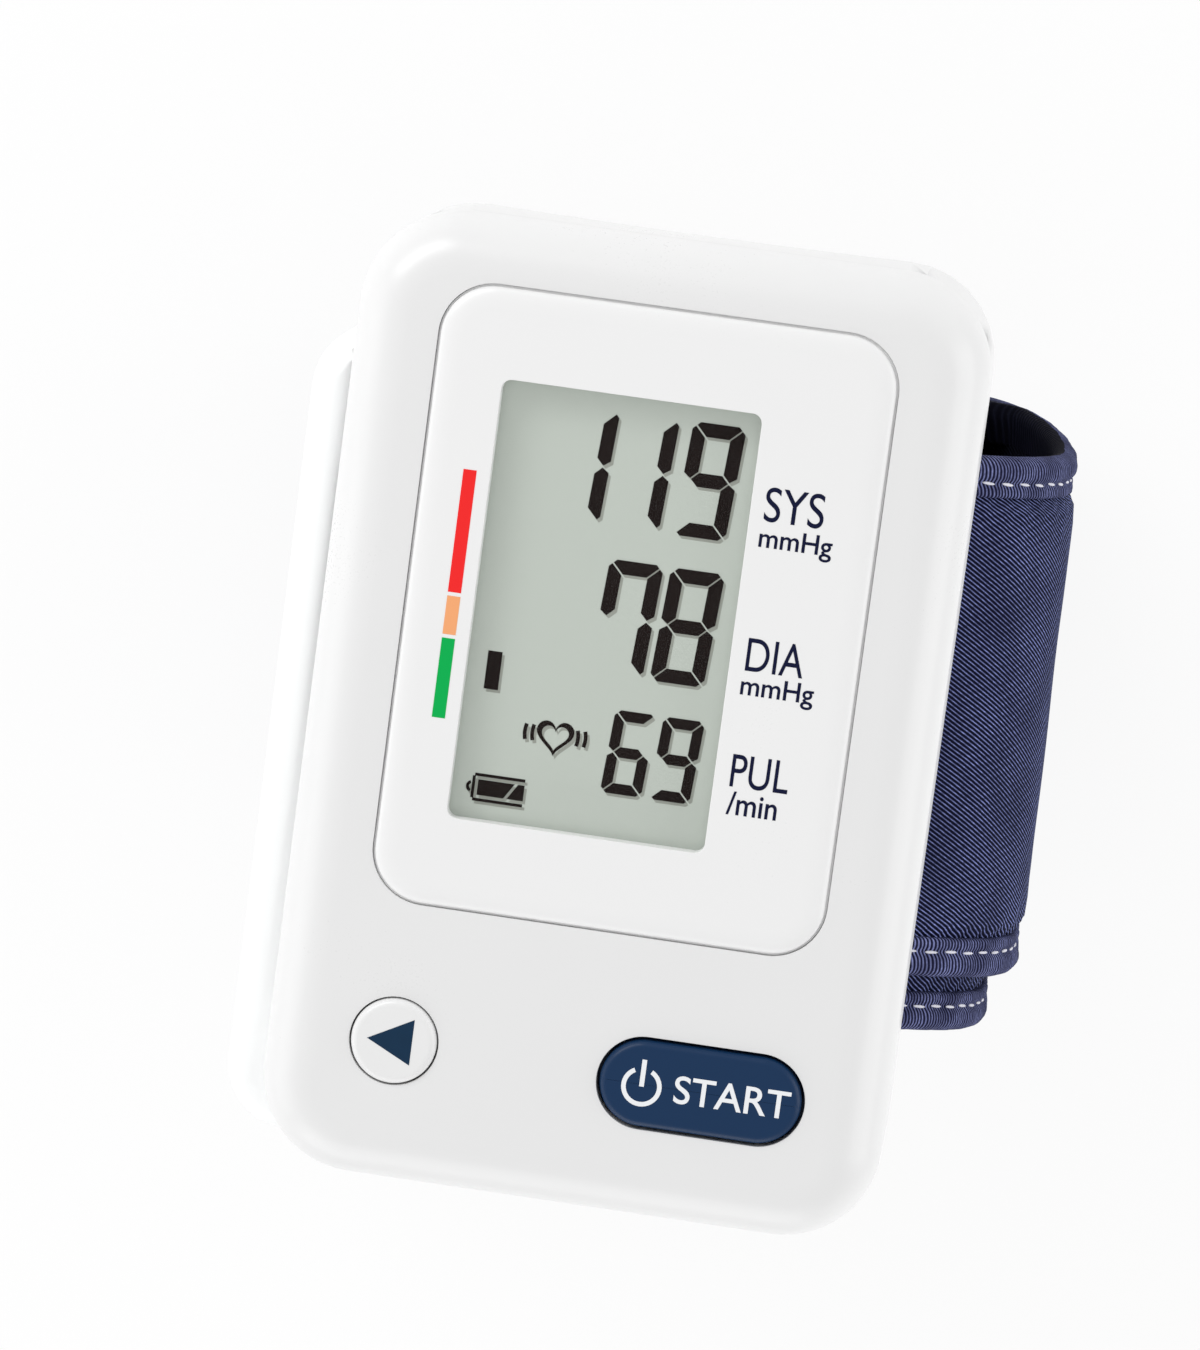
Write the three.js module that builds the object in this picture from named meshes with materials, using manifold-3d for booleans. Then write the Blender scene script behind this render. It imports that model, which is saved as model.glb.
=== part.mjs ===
// Wrist blood pressure monitor: a hollow case with a display and two buttons, two cells behind a side cover,
// a pump line inside, and a padded cuff whose free end laps over its right side.
// Millimetres. +Z is the display's outward normal, +Y points to the hand, and the cuff stands on z = 0.
import * as THREE from 'three';
import * as BufferGeometryUtils from 'three/addons/utils/BufferGeometryUtils.js';
import Module from 'manifold-3d';

const wasm = await Module();
wasm.setup();

// Cuff: opening, layers from the skin outwards, and lap
const openingWidth = 62.9;
const openingHeight = 46.5;
const lowerFlat = 27.6;
const upperFlat = 4;
const lowerShare = 20;
const liningThickness = 0.7;
const bladderThickness = 1;
const curlerThickness = 0.7;
const fabricThickness = 1.1;
const layerGap = 0.13;
const flapThickness = 2;
const hookThickness = 0.7;
const lapGap = 0.3;
const cuffWidth = 51.3;
const bindingWidth = 4;
const lapSkew = 5.2;
const footShift = 3.4;
const cuffShift = 0.8;
const footLow = 5;
const footHigh = 27;
const rampLength = 18;
const innerEndGap = 1.2;
const flapLength = 33;
const stationPitch = 2.9;
const cuffTaper = 0.0006;

// Case
const caseWidth = 57.4;
const caseLength = 89.05;
const cornerRadius = 9;
const frontRoundIn = 5.5;
const frontRoundDown = 5;
const rearRounding = 1.6;
const wristRadius = 70;
const wall = 1.8;
const rearWall = 1.6;
const fitGap = 0.3;
const slipGap = 0.12;
const cutReach = 1;
const joinDepth = 0.01;
const ceilingStep = 0.5;

// Display panel, placed by its margins from the case edges and from its own edges
const panelMarginTop = 5.6;
const panelMarginBottom = 26.8;
const panelMarginLeft = 8.2;
const panelMarginRight = 7.95;
const panelRadius = 6.3;
const panelRise = 0.6;
const panelThickness = 1.6;
const panelBevel = 1.4;
const windowMarginTop = 8.3;
const windowMarginBottom = 8.2;
const windowMarginLeft = 6.1;
const windowMarginRight = 11.6;
const windowRadius = 1;
const lensLip = 1.3;
const lensThickness = 0.5;
const recessFloor = 1.1;
const lcdBorder = 2.6;
const lcdThickness = 1.5;
const lcdLedge = 2.2;
const lcdStandoff = 0.9;
const frameWall = 1.4;

// Circuit board
const boardThickness = 1;
const boardEndGap = 4;
const boardCorner = 2;
const connectorCorner = 0.3;

// Buttons
const startWidth = 18.5;
const startLength = 8;
const startX = 11.75;
const memoryDiameter = 7.6;
const memoryX = -16.65;
const buttonRise = 0.5;
const buttonBevel = 0.5;
const buttonFlange = 0.8;
const flangeThickness = 0.8;
const buttonTravel = 0.8;
const domeBase = 6;
const domeTop = 3.4;
const domeWall = 0.5;
const startEdge = 13.2;
const memoryEdge = 13.7;

// Battery bay and its cover
const cellDiameter = 10.5;
const cellLength = 44.5;
const cellNubDiameter = 3.8;
const cellNubLength = 0.8;
const cellGap = 0.4;
const cellRim = 0.5;
const contactThickness = 0.4;
const contactWidth = 8.4;
const springLength = 3.2;
const springWire = 0.5;
const springTurns = 4;
const bayWall = 1.2;
const bayFromBottom = 39.2;
const flankReach = 4.2;
const flankMarginTop = 11.7;
const flankMarginBottom = 1.5;
const flankRadius = 8;
const flankRounding = 2.4;
const coverWall = 1.3;
const tongueReach = 8;

// Pump line
const pumpX = 13.5;
const pumpFromArm = 25.5;
const motorDiameter = 9.8;
const motorLength = 19;
const motorFlats = 8.6;
const headWidth = 12;
const headHeight = 9;
const headLength = 9.5;
const headCorner = 1.5;
const motorBoss = 1;
const nozzleDiameter = 2.6;
const nozzleLength = 2.4;
const valveWidth = 8;
const valveLength = 11;
const valveHeight = 8.4;
const valveCorner = 1;
const valveY = 17;
const manifoldX = 1.5;
const manifoldY = 11;
const manifoldDiameter = 5;
const manifoldLength = 12;
const tubeDiameter = 3.6;
const tubeLead = 2.6;
const sensorWidth = 7.5;
const sensorHeight = 4.6;
const sensorFromHand = 10.5;
const sensorCorner = 0.6;
const nippleDiameter = 4;
const socketWall = 1;

// Cuff plate and case screws
const plateThickness = 1.2;
const plateWidth = 34;
const plateLength = 38;
const pegDiameter = 4;
const pegInset = 4.5;
const screwInset = 5.3;
const screwDiameter = 2;
const screwHead = 3.8;
const screwHeadHeight = 1.5;
const screwLength = 13;
const screwSeat = 6.5;
const bossRadius = 2.7;

// Facet counts
const cornerSteps = 7;
const roundSteps = 5;
const wristSides = 120;
const roundSides = 20;
const screwSides = 14;
const wireSides = 3;
const wireSteps = 12;
const tubeSides = 5;
const tubeSteps = 12;
const smallestRadius = 0.05;
const radiusTrim = 0.001;

// Colours
const caseWhite = 0xf2f3f3;
const navy = 0x1c385c;
const cuffNavy = 0x262a55;
const steel = 0xb8bcc2;

// Closed mesh to solid and back
function solidOf(geometry) {
  const bare = geometry.clone();
  bare.deleteAttribute('normal');
  bare.deleteAttribute('uv');
  const merged = BufferGeometryUtils.mergeVertices(bare, 1e-4);
  return new wasm.Manifold(new wasm.Mesh({
    numProp: 3,
    vertProperties: new Float32Array(merged.attributes.position.array),
    triVerts: new Uint32Array(merged.index.array),
  }));
}

function geometryOf(solid) {
  const mesh = solid.getMesh();
  const geometry = new THREE.BufferGeometry();
  geometry.setAttribute('position', new THREE.BufferAttribute(new Float32Array(mesh.vertProperties), 3));
  geometry.setIndex(new THREE.BufferAttribute(new Uint32Array(mesh.triVerts), 1));
  geometry.computeVertexNormals();
  return geometry;
}

// Rounded rectangle as points, counter-clockwise from above
function roundedOutline(box, radius, steps = cornerSteps) {
  const most = Math.min(radius, (box.right - box.left) / 2, (box.top - box.bottom) / 2);
  const r = Math.max(smallestRadius, most - radiusTrim);
  const corners = [
    [box.right - r, box.bottom + r, -Math.PI / 2],
    [box.right - r, box.top - r, 0],
    [box.left + r, box.top - r, Math.PI / 2],
    [box.left + r, box.bottom + r, Math.PI],
  ];
  const points = [];
  for (const [x, y, start] of corners) {
    for (let step = 0; step <= steps; step += 1) {
      const angle = start + (step / steps) * (Math.PI / 2);
      points.push(new THREE.Vector2(x + r * Math.cos(angle), y + r * Math.sin(angle)));
    }
  }
  return points;
}

function grown(box, by) {
  return { left: box.left - by, right: box.right + by, bottom: box.bottom - by, top: box.top + by };
}

function centredBox(x, y, width, length) {
  return { left: x - width / 2, right: x + width / 2, bottom: y - length / 2, top: y + length / 2 };
}

// Closed solid through rings of equal point count
function loftRings(rings, capPoints) {
  const count = rings[0].length;
  const positions = rings.flat().flatMap((point) => [point.x, point.y, point.z]);
  const index = [];
  for (let ring = 0; ring + 1 < rings.length; ring += 1) {
    for (let i = 0; i < count; i += 1) {
      const a = ring * count + i;
      const b = ring * count + ((i + 1) % count);
      index.push(a, b, b + count, a, b + count, a + count);
    }
  }
  const last = (rings.length - 1) * count;
  for (const [a, b, c] of THREE.ShapeUtils.triangulateShape(capPoints, [])) {
    index.push(a, c, b, last + a, last + b, last + c);
  }
  const geometry = new THREE.BufferGeometry();
  geometry.setAttribute('position', new THREE.Float32BufferAttribute(positions, 3));
  geometry.setIndex(index);
  return geometry;
}

// Upright block with a rounded outline; its lower and upper edges may be rounded in and up or down
function block(box, radius, low, high, lower = { inward: 0, height: 0 }, upper = { inward: 0, height: 0 }) {
  const levels = [];
  const lowerSteps = lower.inward > 0 ? roundSteps : 0;
  const upperSteps = upper.inward > 0 ? roundSteps : 0;
  for (let step = 0; step <= lowerSteps; step += 1) {
    const angle = lowerSteps ? (step / lowerSteps) * (Math.PI / 2) : Math.PI / 2;
    levels.push([lower.inward * (1 - Math.sin(angle)), low + lower.height * (1 - Math.cos(angle))]);
  }
  for (let step = 0; step <= upperSteps; step += 1) {
    const angle = upperSteps ? (step / upperSteps) * (Math.PI / 2) : 0;
    levels.push([upper.inward * (1 - Math.cos(angle)), high - upper.height * (1 - Math.sin(angle))]);
  }
  const rings = levels.map(([inset, z]) => roundedOutline(grown(box, -inset), radius - inset)
    .map((point) => new THREE.Vector3(point.x, point.y, z)));
  return loftRings(rings, roundedOutline(box, radius));
}

function blockSolid(...sizes) {
  return solidOf(block(...sizes));
}

function boxSolid(left, right, bottom, top, low, high) {
  const geometry = new THREE.BoxGeometry(right - left, top - bottom, high - low);
  geometry.translate((left + right) / 2, (bottom + top) / 2, (low + high) / 2);
  return solidOf(geometry);
}

// Round bar between two heights, or along Y between two places
function postSolid(x, y, radius, low, high, sides = roundSides) {
  const geometry = new THREE.CylinderGeometry(radius, radius, high - low, sides);
  geometry.rotateX(Math.PI / 2);
  geometry.translate(x, y, (low + high) / 2);
  return solidOf(geometry);
}

function barAlongY(x, z, radius, from, to, sides = roundSides) {
  const geometry = new THREE.CylinderGeometry(radius, radius, to - from, sides);
  geometry.translate(x, (from + to) / 2, z);
  return solidOf(geometry);
}

function barAlongX(y, z, radius, from, to, sides = roundSides) {
  const geometry = new THREE.CylinderGeometry(radius, radius, to - from, sides);
  geometry.rotateZ(Math.PI / 2);
  geometry.translate((from + to) / 2, y, z);
  return solidOf(geometry);
}

// Heights, worked up from the cuff's foot
const bandThickness = liningThickness + bladderThickness + curlerThickness + fabricThickness + 3 * layerGap;
const openingTop = bandThickness + openingHeight;
const crownZ = openingTop + bandThickness + slipGap + plateThickness + slipGap;
const wristAxisZ = crownZ - wristRadius;
const halfWidth = caseWidth / 2;
const halfLength = caseLength / 2;
const sensorY = halfLength - sensorFromHand;
const caseBase = wristAxisZ + Math.sqrt(wristRadius ** 2 - halfWidth ** 2);
const caseBox = centredBox(0, 0, caseWidth, caseLength);

function hollowHeight(x, radius) {
  return wristAxisZ + Math.sqrt(radius ** 2 - x ** 2);
}

// Cells lie on the curved floor, side by side from the flank inwards
const floorRadius = wristRadius + rearWall;
const cellRadius = cellDiameter / 2;
const flankX = -halfWidth - flankReach;
const cellOuterX = flankX + coverWall + fitGap + cellRadius;
const cellInnerX = cellOuterX + cellDiameter + cellGap;
const cellOuterZ = hollowHeight(cellOuterX, floorRadius + fitGap + cellRadius);
const cellInnerZ = hollowHeight(cellInnerX, floorRadius + fitGap + cellRadius);
const splitZ = cellOuterZ + cellRadius + fitGap;
const motorRadius = motorDiameter / 2;
const pumpZ = hollowHeight(pumpX, floorRadius + fitGap + motorRadius);
const headLow = hollowHeight(pumpX - headWidth / 2, floorRadius) + fitGap;
const valveLow = hollowHeight(pumpX - valveWidth / 2, floorRadius) + fitGap;
const fullHeight = Math.max(cellInnerZ + cellRadius, pumpZ + motorRadius, headLow + headHeight,
  valveLow + valveHeight);
const boardLow = fullHeight + fitGap;
const boardHigh = boardLow + boardThickness;
const lcdLow = boardHigh + lcdStandoff;
const lcdHigh = lcdLow + lcdThickness;
const domeHeight = buttonTravel + domeWall + fitGap;
const ceilingZ = Math.max(lcdHigh + slipGap, boardHigh + domeHeight + flangeThickness + 2 * slipGap + fitGap);
const panelLow = ceilingZ + recessFloor;
const panelHigh = panelLow + panelThickness;
const lensHigh = panelLow - slipGap;
const lensLow = lensHigh - lensThickness;
const frontZ = panelHigh - panelRise;

const panelBox = {
  left: -halfWidth + panelMarginLeft,
  right: halfWidth - panelMarginRight,
  bottom: -halfLength + panelMarginBottom,
  top: halfLength - panelMarginTop,
};
const windowBox = {
  left: panelBox.left + windowMarginLeft,
  right: panelBox.right - windowMarginRight,
  bottom: panelBox.bottom + windowMarginBottom,
  top: panelBox.top - windowMarginTop,
};
const lensBox = grown(windowBox, lensLip);
const lcdBox = grown(windowBox, lcdBorder);

const startY = -halfLength + startEdge;
const memoryY = -halfLength + memoryEdge;
const startBox = centredBox(startX, startY, startWidth, startLength);
const memoryBox = centredBox(memoryX, memoryY, memoryDiameter, memoryDiameter);

const screwX = halfWidth - screwInset;
const screwY = halfLength - screwInset;
const screwPlaces = [[-1, -1], [1, -1], [1, 1], [-1, 1]].map(([sx, sy]) => [sx * screwX, sy * screwY]);
const screwSeatZ = caseBase + screwSeat;
const screwTip = screwSeatZ + screwLength;
const pegPlaces = [[-1, -1], [1, -1], [1, 1], [-1, 1]].map(([sx, sy]) => [
  sx * (plateWidth / 2 - pegInset),
  sy * (plateLength / 2 - pegInset),
]);

const bayLength = cellLength + springLength + 2 * contactThickness + 4 * fitGap;
const bayMiddle = -halfLength + bayFromBottom;
const pumpY = -halfLength + pumpFromArm;
const bayBottom = bayMiddle - bayLength / 2;
const bayTop = bayMiddle + bayLength / 2;
const bayRight = cellInnerX + cellRadius + fitGap;
const flankBox = {
  left: flankX,
  right: -halfWidth + flankRadius,
  bottom: -halfLength + flankMarginBottom,
  top: halfLength - flankMarginTop,
};
const tongueRight = -halfWidth + tongueReach;

// Cylinder that the wrist side of the case follows
function wristCylinder(radius) {
  return barAlongY(0, wristAxisZ, radius, -caseLength, caseLength, wristSides);
}

function curvedPlate(radius, thickness, box) {
  const slab = boxSolid(box.left, box.right, box.bottom, box.top, caseBase - wristRadius / 2, frontZ);
  return wristCylinder(radius).subtract(wristCylinder(radius - thickness)).intersect(slab);
}

const root = new THREE.Group();

function place(name, geometry, color, roughness = 0.5, metalness = 0) {
  const mesh = new THREE.Mesh(geometry, new THREE.MeshStandardMaterial({ color, roughness, metalness }));
  mesh.name = name;
  root.add(mesh);
  return mesh;
}

// Front shell with the panel's recess, the window, the button holes and the screw bosses
function frontCase() {
  const rounded = { inward: frontRoundIn, height: frontRoundDown };
  const innerDown = Math.min(frontRoundDown, ceilingZ - splitZ - ceilingStep);
  const innerRound = { inward: frontRoundIn - wall, height: innerDown };
  const innerBox = grown(caseBox, -wall);
  let cavity = blockSolid(innerBox, cornerRadius - wall, splitZ - wall, ceilingZ, undefined, innerRound);
  for (const [x, y] of screwPlaces) {
    cavity = cavity.subtract(postSolid(x, y, bossRadius, splitZ - wall, frontZ));
    cavity = cavity.add(postSolid(x, y, screwDiameter / 2 + slipGap, splitZ - wall, screwTip + fitGap));
  }
  let shell = blockSolid(caseBox, cornerRadius, splitZ, frontZ, undefined, rounded).subtract(cavity);
  const seatLow = panelLow - slipGap;
  const cutHigh = frontZ + cutReach;
  shell = shell.subtract(blockSolid(grown(panelBox, fitGap), panelRadius + fitGap, seatLow, cutHigh));
  const opening = blockSolid(grown(lensBox, slipGap), windowRadius, ceilingZ - cutReach, panelLow + cutReach);
  shell = shell.subtract(opening);
  for (const [box, radius] of [[startBox, startLength / 2], [memoryBox, memoryDiameter / 2]]) {
    shell = shell.subtract(blockSolid(grown(box, fitGap), radius + fitGap, ceilingZ - cutReach, cutHigh));
  }
  return geometryOf(shell);
}

// Rear shell hollowed to the wrist, with battery bay walls, screw posts and holes for the cuff plate's pegs
function rearCase() {
  const rounded = { inward: rearRounding, height: rearRounding };
  const top = splitZ - slipGap;
  const floorCylinder = wristCylinder(floorRadius);
  let shell = blockSolid(caseBox, cornerRadius, caseBase, top, rounded);
  let cavity = blockSolid(grown(caseBox, -wall), cornerRadius - wall, caseBase, splitZ + wall);
  cavity = cavity.subtract(floorCylinder);
  const bayWalls = boxSolid(-halfWidth + wall / 2, bayRight + bayWall, bayBottom - bayWall, bayTop + bayWall,
    caseBase, top).subtract(boxSolid(-caseWidth, bayRight, bayBottom, bayTop, 0, splitZ + wall));
  cavity = cavity.subtract(bayWalls);
  for (const [x, y] of screwPlaces) {
    cavity = cavity.subtract(postSolid(x, y, bossRadius + wall / 2, caseBase, top));
  }
  shell = shell.subtract(cavity).subtract(wristCylinder(wristRadius));
  for (const [x, y] of screwPlaces) {
    shell = shell.subtract(postSolid(x, y, screwDiameter / 2 + fitGap, caseBase - wall, splitZ + wall));
    shell = shell.subtract(postSolid(x, y, screwHead / 2 + fitGap, caseBase - wall, screwSeatZ));
  }
  const mouthRight = tongueRight + fitGap;
  shell = shell.subtract(boxSolid(-caseWidth, mouthRight, bayBottom, bayTop, caseBase - wall, splitZ + wall));
  shell = shell.subtract(postSolid(manifoldX, manifoldY, nippleDiameter / 2 + fitGap, caseBase, splitZ));
  for (const [x, y] of pegPlaces) {
    shell = shell.subtract(postSolid(x, y, pegDiameter / 2 + fitGap, caseBase, splitZ - wall));
  }
  return geometryOf(shell);
}

// Side cover: a flank that follows the case's outline, hollowed beside the outer cell, with a curved tongue
// that closes the bay's floor
function batteryCover() {
  const round = { inward: flankRounding, height: flankRounding };
  const low = caseBase + fitGap;
  const high = splitZ - fitGap;
  const inner = -halfWidth - fitGap;
  let shell = blockSolid(flankBox, flankRadius, low, high, round, round);
  shell = shell.subtract(blockSolid(grown(caseBox, fitGap), cornerRadius + fitGap, 0, frontZ));
  const tongue = curvedPlate(floorRadius, rearWall, {
    left: inner - coverWall,
    right: tongueRight,
    bottom: bayBottom + fitGap,
    top: bayTop - fitGap,
  });
  const bay = boxSolid(flankX + coverWall, -halfWidth, bayBottom, bayTop, 0, high - coverWall / 2);
  return geometryOf(shell.subtract(bay.subtract(wristCylinder(floorRadius))).add(tongue));
}

function displayPanel() {
  const bevel = { inward: panelBevel, height: panelRise };
  const panel = blockSolid(panelBox, panelRadius, panelLow, panelHigh, undefined, bevel);
  const opening = blockSolid(windowBox, windowRadius, panelLow - cutReach, panelHigh + cutReach);
  return geometryOf(panel.subtract(opening));
}

// Display glass: a ledge for the contacts, and a viewing plate that stands up close under the lens
function lcdModule() {
  const front = blockSolid(lcdBox, windowRadius, lcdLow + lcdThickness / 2, lcdHigh);
  const back = { ...lcdBox, bottom: lcdBox.bottom - lcdLedge };
  const ledge = blockSolid(back, windowRadius, lcdLow, lcdLow + lcdThickness / 2 + joinDepth);
  const viewing = blockSolid(grown(lensBox, -fitGap), windowRadius, lcdHigh - joinDepth, lensLow - slipGap);
  return geometryOf(front.add(ledge).add(viewing));
}

function lcdFrame() {
  const seat = { ...lcdBox, bottom: lcdBox.bottom - lcdLedge };
  let frame = blockSolid(grown(seat, frameWall), windowRadius, boardHigh + slipGap, lcdHigh - fitGap);
  frame = frame.subtract(blockSolid(grown(seat, fitGap), windowRadius, lcdLow - slipGap, lcdHigh + cutReach));
  return geometryOf(frame.subtract(blockSolid(grown(lcdBox, -frameWall), windowRadius, boardLow, lcdHigh)));
}

function keyCap(box, radius) {
  const high = frontZ + buttonRise;
  const flangeHigh = ceilingZ - fitGap;
  const bevel = { inward: buttonBevel, height: buttonBevel };
  const low = flangeHigh - flangeThickness;
  const cap = blockSolid(box, radius, low, high, undefined, bevel);
  const flange = blockSolid(grown(box, buttonFlange), radius + buttonFlange, low, flangeHigh);
  return geometryOf(cap.add(flange));
}

// Hollow rubber dome, open towards the board
function keyDome(x, y) {
  const low = boardHigh + slipGap;
  const high = ceilingZ - fitGap - flangeThickness - slipGap;
  const profile = [
    [0, high - domeWall],
    [domeTop / 2 - domeWall, high - domeWall],
    [domeBase / 2 - domeWall, low],
    [domeBase / 2, low],
    [domeTop / 2, high],
    [0, high],
  ].map(([radius, z]) => new THREE.Vector2(radius, z));
  const geometry = new THREE.LatheGeometry(profile, roundSides);
  geometry.rotateX(Math.PI / 2);
  geometry.translate(x, y, 0);
  return geometryOf(solidOf(geometry));
}

// Round cell with its nub at the positive end
function cell(x, z, from, direction) {
  const rim = cellRim;
  const body = cellLength - cellNubLength;
  const profile = [
    [0, 0],
    [cellRadius - rim, 0],
    [cellRadius, rim],
    [cellRadius, body - rim],
    [cellRadius - rim, body],
    [cellNubDiameter / 2, body],
    [cellNubDiameter / 2, cellLength],
    [0, cellLength],
  ].map(([radius, along]) => new THREE.Vector2(radius, along));
  const geometry = new THREE.LatheGeometry(profile, roundSides);
  if (direction < 0) {
    geometry.rotateX(Math.PI);
  }
  geometry.translate(x, from, z);
  return geometryOf(solidOf(geometry));
}

// Conical coil that presses on a cell's flat end
class CoilPath extends THREE.Curve {
  constructor(wide, narrow, length, turns) {
    super();
    Object.assign(this, { wide, narrow, length, turns });
  }

  getPoint(t, target = new THREE.Vector3()) {
    const angle = t * this.turns * Math.PI * 2;
    const radius = this.wide + (this.narrow - this.wide) * t;
    return target.set(radius * Math.cos(angle), this.length * t, radius * Math.sin(angle));
  }
}

function contactSpring(x, z, from, direction) {
  const wire = new THREE.Shape();
  wire.absarc(0, 0, springWire / 2, 0, Math.PI * 2);
  const reach = springLength - springWire - 2 * slipGap;
  const path = new CoilPath(contactWidth / 2 - springWire, cellNubDiameter / 2, reach, springTurns);
  const geometry = new THREE.ExtrudeGeometry(wire, {
    steps: springTurns * wireSteps,
    curveSegments: wireSides,
    extrudePath: path,
  });
  if (direction < 0) {
    geometry.rotateX(Math.PI);
  }
  geometry.translate(x, from + direction * (springWire / 2 + slipGap), z);
  return geometryOf(solidOf(geometry));
}

function contactPlate(left, right, from, direction, low, high) {
  const to = from + direction * contactThickness;
  return geometryOf(boxSolid(left, right, Math.min(from, to), Math.max(from, to), low, high));
}

// Pump: a flat-sided motor with its pump head on the same axis
function pumpMotor() {
  const can = barAlongY(pumpX, pumpZ, motorRadius, pumpY - motorLength, pumpY);
  const flats = boxSolid(pumpX - motorRadius, pumpX + motorRadius, pumpY - motorLength, pumpY,
    pumpZ - motorFlats / 2, pumpZ + motorRadius);
  const end = barAlongY(pumpX, pumpZ, motorRadius / 2, pumpY - motorLength - motorBoss, pumpY);
  return geometryOf(can.intersect(flats).add(end));
}

const headFrom = pumpY + slipGap;
const headTo = headFrom + headLength;
const lineZ = headLow + headHeight / 2;

function pumpHead() {
  const box = { left: pumpX - headWidth / 2, right: pumpX + headWidth / 2, bottom: headFrom, top: headTo };
  const head = blockSolid(box, headCorner, headLow, headLow + headHeight);
  const nozzle = barAlongY(pumpX, lineZ, nozzleDiameter / 2, headTo - cutReach, headTo + nozzleLength);
  return geometryOf(head.add(nozzle));
}

const valveLeft = pumpX - valveWidth / 2;
const valveLine = valveLow + valveHeight / 2;

function exhaustValve() {
  const box = centredBox(pumpX, valveY, valveWidth, valveLength);
  const body = blockSolid(box, valveCorner, valveLow, valveLow + valveHeight);
  return geometryOf(body.add(barAlongX(manifoldY + manifoldLength / 4, valveLine, nozzleDiameter / 2,
    valveLeft - nozzleLength, valveLeft + cutReach)));
}

// Branched air line: one straight run, a branch to the valve and a socket over the cuff's nipple
const manifoldRadius = manifoldDiameter / 2;
const manifoldFrom = manifoldY - manifoldLength / 2;
const manifoldTo = manifoldY + manifoldLength / 2;
const manifoldZ = Math.max(valveLine, hollowHeight(manifoldX, floorRadius) + fitGap + manifoldRadius);

function airManifold() {
  const run = barAlongY(manifoldX, manifoldZ, manifoldRadius, manifoldFrom, manifoldTo);
  const branch = barAlongX(manifoldY + manifoldLength / 4, valveLine, nozzleDiameter / 2, manifoldX,
    valveLeft - nozzleLength - slipGap);
  const foot = hollowHeight(manifoldX, floorRadius) + slipGap;
  const socket = postSolid(manifoldX, manifoldY, nippleDiameter / 2 + socketWall, foot, manifoldZ);
  const bore = postSolid(manifoldX, manifoldY, nippleDiameter / 2 + slipGap, foot - cutReach, manifoldZ);
  return geometryOf(run.add(branch).add(socket).subtract(bore));
}

// Soft tube along a short route
function tube(points) {
  const section = new THREE.Shape();
  section.absarc(0, 0, tubeDiameter / 2, 0, Math.PI * 2);
  const path = new THREE.CatmullRomCurve3(points.map((point) => new THREE.Vector3(...point)));
  return geometryOf(solidOf(new THREE.ExtrudeGeometry(section, {
    steps: tubeSteps,
    curveSegments: tubeSides,
    extrudePath: path,
  })));
}

function pressureSensor() {
  const box = centredBox(manifoldX, sensorY, sensorWidth, sensorWidth);
  const low = boardLow - slipGap - sensorHeight;
  const port = barAlongY(manifoldX, low + sensorHeight / 2, nozzleDiameter / 2,
    sensorY - sensorWidth / 2 - nozzleLength, sensorY);
  return geometryOf(blockSolid(box, sensorCorner, low, boardLow - slipGap).add(port));
}

// Cuff outline: two lower and two upper quarter ellipses joined by a flat foot and a flat top
const cuffPath = new THREE.Path();
const sideZ = bandThickness + lowerShare;
const lowerIn = openingWidth / 2 - lowerFlat / 2;
const upperIn = openingWidth / 2 - upperFlat / 2;
cuffPath.moveTo(lowerFlat / 2, bandThickness);
cuffPath.absellipse(lowerFlat / 2, sideZ, lowerIn, lowerShare, -Math.PI / 2, 0);
cuffPath.absellipse(upperFlat / 2, sideZ, upperIn, openingTop - sideZ, 0, Math.PI / 2);
cuffPath.lineTo(-upperFlat / 2, openingTop);
cuffPath.absellipse(-upperFlat / 2, sideZ, upperIn, openingTop - sideZ, Math.PI / 2, Math.PI);
cuffPath.absellipse(-lowerFlat / 2, sideZ, lowerIn, lowerShare, Math.PI, Math.PI * 1.5);
cuffPath.lineTo(lowerFlat / 2, bandThickness);
cuffPath.arcLengthDivisions = 2000;
const loopLength = cuffPath.getLength();

// Point on the cuff: distance along the wrap, distance out from the skin, and place across the band,
// a little narrower towards the hand, with the foot of the loop lying nearer the hand
function cuffPoint(along, out, across) {
  const u = (along / loopLength) % 1;
  const point = cuffPath.getPointAt(u);
  const tangent = cuffPath.getTangentAt(u);
  const foot = footShift * (1 - THREE.MathUtils.smoothstep(point.y, footLow, footHigh));
  const drift = lapSkew * ((along - flapMiddle) / loopLength) + foot + cuffShift;
  const taper = 1 - cuffTaper * across;
  return new THREE.Vector3((point.x + tangent.y * out) * taper, across + drift, point.y - tangent.x * out);
}

const innerEnd = rampLength;
const liningEnd = loopLength + rampLength - innerEndGap;
const flapStart = loopLength + rampLength + innerEndGap;
const flapEnd = flapStart + flapLength;
const flapMiddle = (flapStart + flapEnd) / 2;
const flapInner = bandThickness + lapGap;
const flapOuter = flapInner + flapThickness;
const innerHalf = cuffWidth / 2 - bindingWidth;

// The outer fabric climbs over the inner end along the ramp
function lift(along) {
  return THREE.MathUtils.smoothstep(along, loopLength, loopLength + rampLength);
}

function fabricOuter(along) {
  return bandThickness + (flapOuter - bandThickness) * lift(along);
}

function fabricInner(along) {
  return bandThickness - fabricThickness + (flapInner - bandThickness + fabricThickness) * lift(along);
}

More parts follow.
